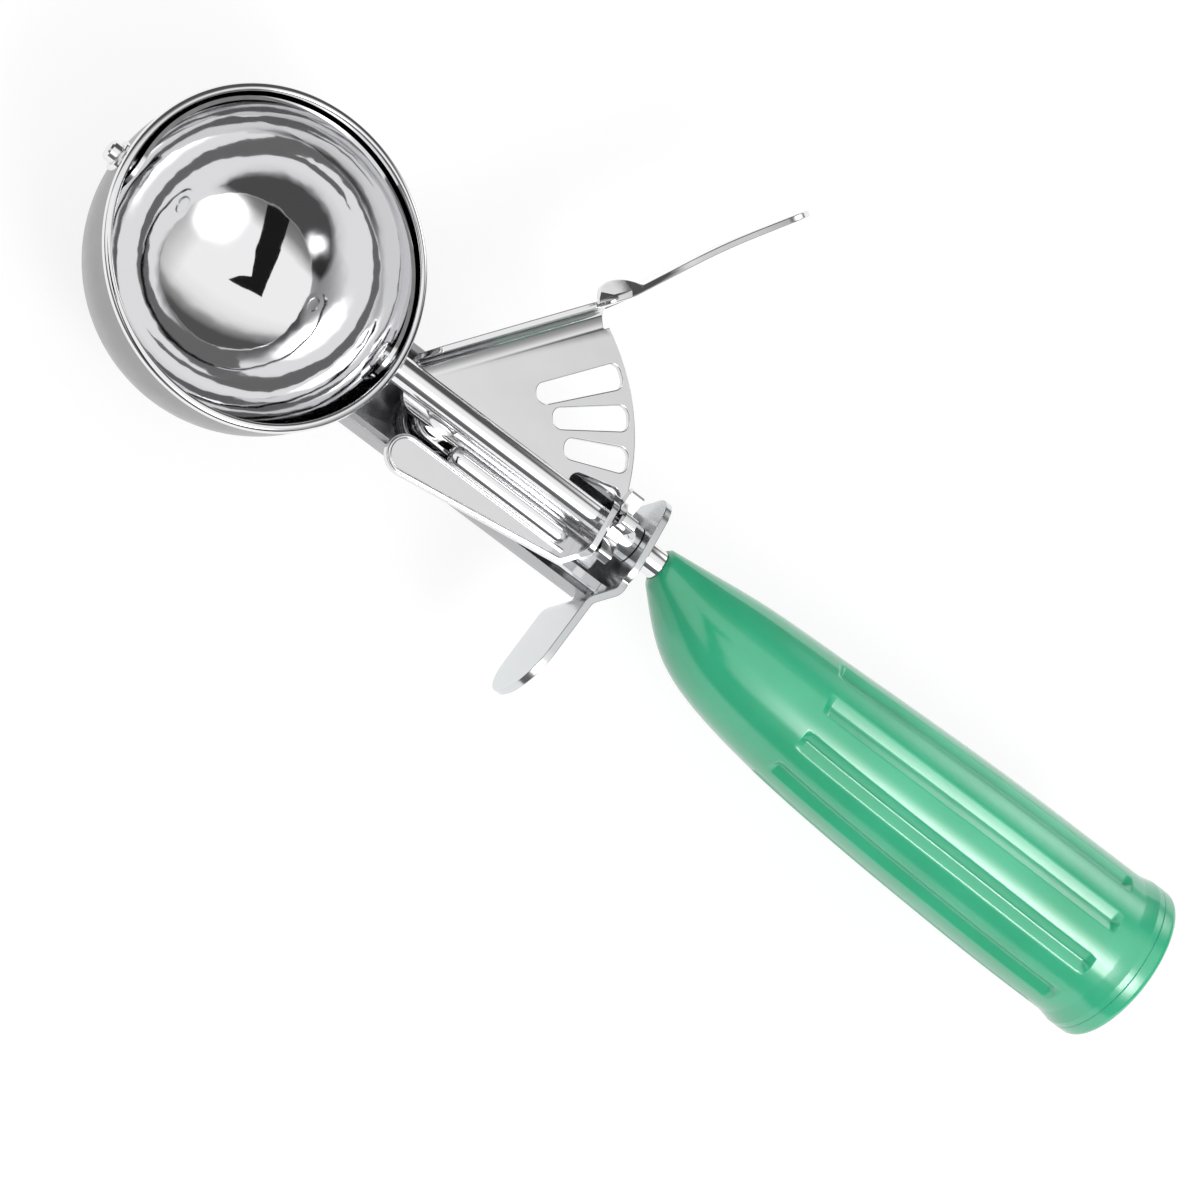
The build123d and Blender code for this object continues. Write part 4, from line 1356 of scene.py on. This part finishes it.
@dataclass
class Handle:
    """Moulded handle with its flutes, its end cap and the tang inside."""

    butt_radius: float = 14.6 * MM
    offset: float = 7.5 * MM
    collar_stand: float = 0.6 * MM
    collar_lip: float = 1.2 * MM
    collar_flare: float = 5.0 * MM
    collar_sink: float = 0.25 * MM
    collar_slope: float = 0.08
    neck_radius: float = 3.53 * MM
    flutes: int = 10
    flute_half: float = 1.95 * MM
    flute_floor: float = 0.25 * MM
    flute_depth: float = 1.15 * MM
    flute_start: float = 10.4 * MM
    flute_end: float = 77.5 * MM
    flute_slope: float = 1.4 * MM
    flute_share: float = 0.30
    edge: float = 0.12 * MM
    cap_round: float = 1.3 * MM
    cap_edge: float = 0.25 * MM
    cap_plug: float = 0.75
    cap_sides: int = 192
    cap_steps: int = 10
    parting: float = 0.06 * MM
    nose_round: float = 0.45 * MM
    sharp_angle: float = 28.0
    rings: int = 210
    flare_rings: int = 24
    ring_gap: float = 0.02 * MM
    land_steps: int = 10
    section_shares: tuple[Point, ...] = (
        (1.0, 1.0), (1.0, 1.0), (0.995, 0.99), (0.982, 0.972), (0.962, 0.952), (0.935, 0.938), (0.90, 0.922),
        (0.858, 0.90), (0.805, 0.865), (0.735, 0.80), (0.63, 0.705), (0.41, 0.50), (0.0, 0.0),
    )

    def __post_init__(self) -> None:
        """Reads the handle's ends from the frame and fits the sections' splines."""
        low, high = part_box("grip")
        self.start, self.end = low.x, high.x
        self.lip_end = self.start + self.collar_lip
        knots = np.linspace(self.start, self.end, len(self.section_shares))
        shares = np.array(self.section_shares)
        self.radius_of = cubic(knots, self.neck_radius + shares[:, 0] * (self.butt_radius - self.neck_radius))
        self.offset_of = cubic(knots, shares[:, 1] * self.offset)

    def flare(self, x: float) -> float:
        """Gives the radius of the collar's concave flare.

        Args:
            x: Place along the handle.

        Returns:
            The radius there, or 0 past the flare.
        """
        foot_x, foot_r = self.lip_end + self.collar_flare, self.butt_radius - self.collar_sink
        tip_r = self.butt_radius + self.collar_stand
        if x <= self.lip_end:
            return tip_r
        if x >= foot_x:
            return 0.0
        tangent = Vector((-1.0, self.collar_slope)).normalized()
        normal = Vector((tangent.y, -tangent.x))
        chord = Vector((self.lip_end - foot_x, tip_r - foot_r))
        size = chord.length_squared / (2 * chord.dot(normal))
        middle = Vector((foot_x, foot_r)) + normal * size
        return middle.y - math.sqrt(max(size ** 2 - (x - middle.x) ** 2, 0.0)) if size > 0 else tip_r

    def depth_at(self, x: float) -> float:
        """Gives how deep the flutes are.

        Args:
            x: Place along the handle.

        Returns:
            The share of their full depth there.
        """
        up = (x - self.flute_start) / self.flute_slope
        down = (self.flute_end - x) / self.flute_slope
        return min(max(min(up, down), 0.0), 1.0)

    def places(self) -> np.ndarray:
        """Spaces the grip's rings, closer together where the form turns.

        Returns:
            Their places along the handle.
        """
        parted = self.start + self.parting
        fine = [self.start, self.start + self.parting / 2, parted, self.lip_end - self.edge, self.lip_end]
        for end, side in ((self.flute_start, 1), (self.flute_end, -1)):
            slope_end = end + side * self.flute_slope
            fine += [end - self.edge, end + self.edge, slope_end - self.edge, slope_end + self.edge]
        even = np.linspace(self.start, self.end, self.rings)
        flare = np.linspace(self.lip_end, self.lip_end + self.collar_flare, self.flare_rings)
        found = np.unique(np.round(np.concatenate([fine, even, flare]), PLACE_DIGITS))
        return found[np.concatenate([[True], np.diff(found) > self.ring_gap])]

    def columns(self, radius: float) -> tuple[np.ndarray, np.ndarray]:
        """Angles round one ring and the share of a flute's depth at each.

        Args:
            radius: The ring's radius.

        Returns:
            The angles in radians and the shares.
        """
        half, floor, edge = self.flute_half, self.flute_floor, self.edge
        rise = edge / (half - floor)
        across = [-half - edge, -half + edge, -floor - edge, -floor + edge]
        across += [-place for place in across[::-1]]
        share = [0.0, rise, 1 - rise, 1.0]
        share += share[::-1]
        pitch = 2 * math.pi / self.flutes
        squeeze = min(1.0, self.flute_share * pitch * radius / half)
        angles, depths = [], []
        for flute in range(self.flutes):
            middle = pitch * (flute + 0.5)
            edges = [middle + place * squeeze / radius for place in across]
            land = np.linspace(edges[-1], edges[0] + pitch, self.land_steps + 2)[1:-1]
            angles += [*edges, *land]
            depths += [*share, *[0.0] * self.land_steps]
        return np.array(angles), np.array(depths)

    def grip(self) -> Object:
        """Builds the moulded grip as one skin.

        Returns:
            The closed grip.
        """
        points, count = [], 0
        places = self.places()
        for x in places:
            radius = max(self.radius_of(x), self.flare(x))
            if x < self.start + self.parting:
                radius -= self.parting - (x - self.start)
            nose = self.end - x
            if nose < self.nose_round:
                radius -= self.nose_round - math.sqrt(self.nose_round ** 2 - (self.nose_round - nose) ** 2)
            angles, depths = self.columns(radius)
            count = len(angles)
            reach = radius - depths * self.flute_depth * self.depth_at(x)
            across, up = self.offset_of(x) + reach * np.cos(angles), reach * np.sin(angles)
            points.append(np.stack([np.full(count, x), across, up], 1))
        last = (len(places) - 1) * count
        faces = quads(len(places), count, closed=True)
        faces += [list(range(count)), list(range(last, last + count))]
        made = mesh_object("moulded_grip", np.concatenate(points), faces)
        return shade(outward(made), self.sharp_angle)

    def cap(self) -> Object:
        """Turns the end cap, with a round edge and a fine parting line.

        Returns:
            The closed cap.
        """
        low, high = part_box("end_cap")
        radius = half_width("end_cap")
        plug = self.cap_plug * radius
        centre = Vector((0.0, (high.y + low.y) / 2, 0.0))
        profile = rounded([
            (low.x, 0.0, 0.0),
            (low.x, radius, self.cap_round),
            (self.start, radius, self.cap_edge),
            (self.start, plug, 0.0),
            (high.x, plug, 0.0),
            (high.x, 0.0, 0.0),
        ], self.cap_steps)
        return turned("butt_cap", profile, Along.X, centre, self.cap_sides)

    def build(self, finishes: Finishes) -> None:
        """Builds and dresses the handle.

        Args:
            finishes: The disher's finishes.
        """
        dress(self.grip(), finishes.green, Body.FRAME, Slot.PLASTIC, "grip")
        dress(self.cap(), finishes.green, Body.FRAME, Slot.PLASTIC, "end_cap")
        refinish(finishes.turned, "tang", "tang_nut", "tang_washer")


# Studio

@dataclass(frozen=True)
class Lamp:
    """A soft lamp: its place, its size, its power in watts and how fast it fades towards its edges."""

    name: str
    place: Triple
    size: Point
    power: float
    fade: float = 2.0


@dataclass
class Studio:
    """Floor, lamps, surroundings and camera."""

    camera_place: Triple = (0.4522, 0.3967, 0.9301)
    camera_aim: Triple = (0.1140, 0.0070, -0.0109)
    camera_up: Triple = (0.5714, -0.8103, 0.1303)
    lens: float = 187.7
    clip_start: float = 0.01
    floor_size: float = 8.0
    floor_gap: float = 0.3 * MM
    floor_colour: float = 0.28
    floor_lift: float = 0.78
    lamps: tuple[Lamp, ...] = (
        Lamp("softbox", (-0.30, 0.536, 0.765), (1.00, 1.00), 31.0),
        Lamp("edge_strip", (-0.197, -0.495, 0.259), (0.44, 0.70), 2.8),
    )
    fill_level: float = 0.68
    # The stand is a painted reflection: its faint glow, its painted glow where a second mirroring shows it,
    # and the ray depth from which that shows
    stand_distance: float = 1.3
    stand_level: float = 0.012
    stand_painted_glow: float = 0.16
    stand_depth: float = 1.5
    stand_outline: tuple[Point, ...] = (
        (-0.16, -1.26), (-0.57, -0.90), (0.01, 0.52), (0.58, 0.23), (0.39, 0.17), (0.17, 0.18),
    )
    # Brightness of the surroundings round the stem, from the finger rest's side over the top to the lever's
    tent_levels: tuple[Point, ...] = (
        (0.0, 0.13), (0.15, 0.15), (0.205, 0.26), (0.24, 0.65), (0.27, 1.0), (0.56, 1.0), (0.62, 0.9),
        (0.645, 0.76), (0.672, 0.35), (0.71, 0.09), (1.0, 0.09),
    )
    # Share of that brightness along the stem, from the butt's side to the bowl's side
    end_levels: tuple[Point, ...] = ((0.0, 0.25), (0.10, 0.45), (0.275, 1.0), (0.95, 1.0), (1.0, 0.6))

    def axes(self) -> tuple[Vector, Vector, Vector]:
        """Works out how the camera is turned.

        Returns:
            Its right, up and back directions.
        """
        back = (Vector(self.camera_place) - Vector(self.camera_aim)).normalized()
        right = Vector(self.camera_up).cross(back).normalized()
        return right, back.cross(right), back

    def camera(self) -> None:
        """Camera at the photograph's angle."""
        data = bpy.data.cameras.new("camera")
        data.lens = self.lens
        data.clip_start = self.clip_start
        made = linked("camera", data)
        turn = Matrix(self.axes()).transposed()
        made.matrix_world = Matrix.Translation(self.camera_place) @ turn.to_4x4()
        bpy.context.scene.camera = made

    def floor(self) -> None:
        """Plain pale floor that shows white and keeps a soft shadow."""
        height = CAD_BOX[0].z - self.floor_gap
        half = self.floor_size / 2
        corners = ((-half, -half), (half, -half), (half, half), (-half, half))
        points = np.array([(x, y, height) for x, y in corners])
        made = mesh_object("floor", points, [range(len(points))])
        material, tree = new_material("floor")
        tree.nodes.clear()
        base = tree.nodes.new("ShaderNodeBsdfDiffuse")
        base.inputs["Color"].default_value = grey(self.floor_colour)
        path = tree.nodes.new("ShaderNodeLightPath")
        lift = tree.nodes.new("ShaderNodeEmission")
        total = tree.nodes.new("ShaderNodeAddShader")
        out = tree.nodes.new("ShaderNodeOutputMaterial")
        seen = path.outputs["Is Camera Ray"]
        for ray in ("Is Glossy Ray", "Is Transmission Ray"):
            seen = math_node(tree, "MAXIMUM", seen, path.outputs[ray])
        tree.links.new(math_node(tree, "MULTIPLY", seen, self.floor_lift), lift.inputs["Strength"])
        tree.links.new(base.outputs[0], total.inputs[0])
        tree.links.new(lift.outputs[0], total.inputs[1])
        tree.links.new(total.outputs[0], out.inputs["Surface"])
        made.data.materials.append(material)

    def world(self) -> None:
        """White tent with dark sides for metal to mirror, plain to diffuse light and white behind."""
        world = bpy.data.worlds.new("tent")
        bpy.context.scene.world = world
        world.use_nodes = True
        tree = world.node_tree
        tree.nodes.clear()
        place = tree.nodes.new("ShaderNodeTexCoord")
        split = tree.nodes.new("ShaderNodeSeparateXYZ")
        tree.links.new(place.outputs["Generated"], split.inputs[0])
        angle = math_node(tree, "ARCTAN2", split.outputs["Z"], split.outputs["Y"])
        round_stem = ramp(tree, math_node(tree, "DIVIDE", angle, math.pi), self.tent_levels)
        # A direction's X runs from -1 to 1, and the ramp from 0 to 1
        along = math_node(tree, "MULTIPLY", math_node(tree, "ADD", split.outputs["X"], 1.0), 0.5)
        tent = math_node(tree, "MULTIPLY", round_stem, ramp(tree, along, self.end_levels))
        path = tree.nodes.new("ShaderNodeLightPath")
        shown = mixed(tree, grey(self.fill_level), tent, path.outputs["Is Glossy Ray"])
        shown = mixed(tree, shown, grey(1.0), path.outputs["Is Camera Ray"])
        light = tree.nodes.new("ShaderNodeBackground")
        out = tree.nodes.new("ShaderNodeOutputWorld")
        tree.links.new(shown, light.inputs["Color"])
        tree.links.new(light.outputs[0], out.inputs["Surface"])

    def lamp(self, lamp: Lamp) -> None:
        """Adds a rectangular lamp with soft edges, aimed at the middle of the object.

        Args:
            lamp: The lamp's place, size and power.
        """
        data = bpy.data.lights.new(lamp.name, "AREA")
        data.shape = "RECTANGLE"
        data.size, data.size_y = lamp.size
        data.energy = lamp.power
        data.use_nodes = True
        tree = data.node_tree
        spot = tree.nodes.new("ShaderNodeNewGeometry")
        split = tree.nodes.new("ShaderNodeSeparateXYZ")
        tree.links.new(spot.outputs["Parametric"], split.inputs[0])
        shares = []
        half = 0.5  # The lamp's face runs from 0 to 1 each way
        for axis in ("X", "Y"):
            away = math_node(tree, "SUBTRACT", split.outputs[axis], half)
            fade = tree.nodes.new("ShaderNodeMapRange")
            fade.interpolation_type = "SMOOTHSTEP"
            fade.inputs["From Min"].default_value = half
            fade.inputs["From Max"].default_value = 0.0
            tree.links.new(math_node(tree, "ABSOLUTE", away), fade.inputs["Value"])
            shares.append(fade.outputs[0])
        share = math_node(tree, "POWER", math_node(tree, "MULTIPLY", *shares), lamp.fade)
        tree.links.new(share, tree.nodes["Emission"].inputs["Strength"])
        made = linked(lamp.name, data)
        back = (Vector(lamp.place) - Vector(self.camera_aim)).normalized()
        side = Vector((1.0, 0.0, 0.0))
        side = (side - back * side.dot(back)).normalized()
        turn = Matrix((side, back.cross(side), back)).transposed()
        made.matrix_world = Matrix.Translation(lamp.place) @ turn.to_4x4()

    def stand(self) -> None:
        """Dark stand behind the camera, a painted reflection that only mirrors show, with a painted glow
        where a second mirroring shows it.
        """
        right, up, back = self.axes()
        low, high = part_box("bowl")
        middle = (low + high) / 2 + back * self.stand_distance
        points = np.array([middle + right * u + up * v for u, v in self.stand_outline])
        made = mesh_object("camera_stand_painted_reflection", points, [range(len(points))])
        material, tree = new_material("black_with_painted_glow")
        tree.nodes.clear()
        path = tree.nodes.new("ShaderNodeLightPath")
        glow = tree.nodes.new("ShaderNodeEmission")
        out = tree.nodes.new("ShaderNodeOutputMaterial")
        # Painted glow: rays that reach the stand after a second mirroring see it brighter
        deep = math_node(tree, "GREATER_THAN", path.outputs["Ray Depth"], self.stand_depth)
        painted_glow = math_node(tree, "MULTIPLY", deep, self.stand_painted_glow)
        tree.links.new(math_node(tree, "ADD", painted_glow, self.stand_level), glow.inputs["Strength"])
        tree.links.new(glow.outputs[0], out.inputs["Surface"])
        made.data.materials.append(material)
        made.visible_camera = made.visible_diffuse = made.visible_shadow = made.visible_transmission = False

    def build(self) -> None:
        """Builds the studio."""
        self.floor()
        self.world()
        for lamp in self.lamps:
            self.lamp(lamp)
        self.stand()
        self.camera()


def main() -> None:
    logging.basicConfig(level=logging.INFO, format="%(name)s: %(message)s")
    bpy.context.scene.view_settings.view_transform = "Standard"
    finishes = Finishes()
    bowl = Bowl()
    for assembly in (bowl, Wiper(bowl), Lever(), Pivot(), Stem(), Handle()):
        assembly.build(finishes)
    Studio().build()


if __name__ == "__main__":
    main()
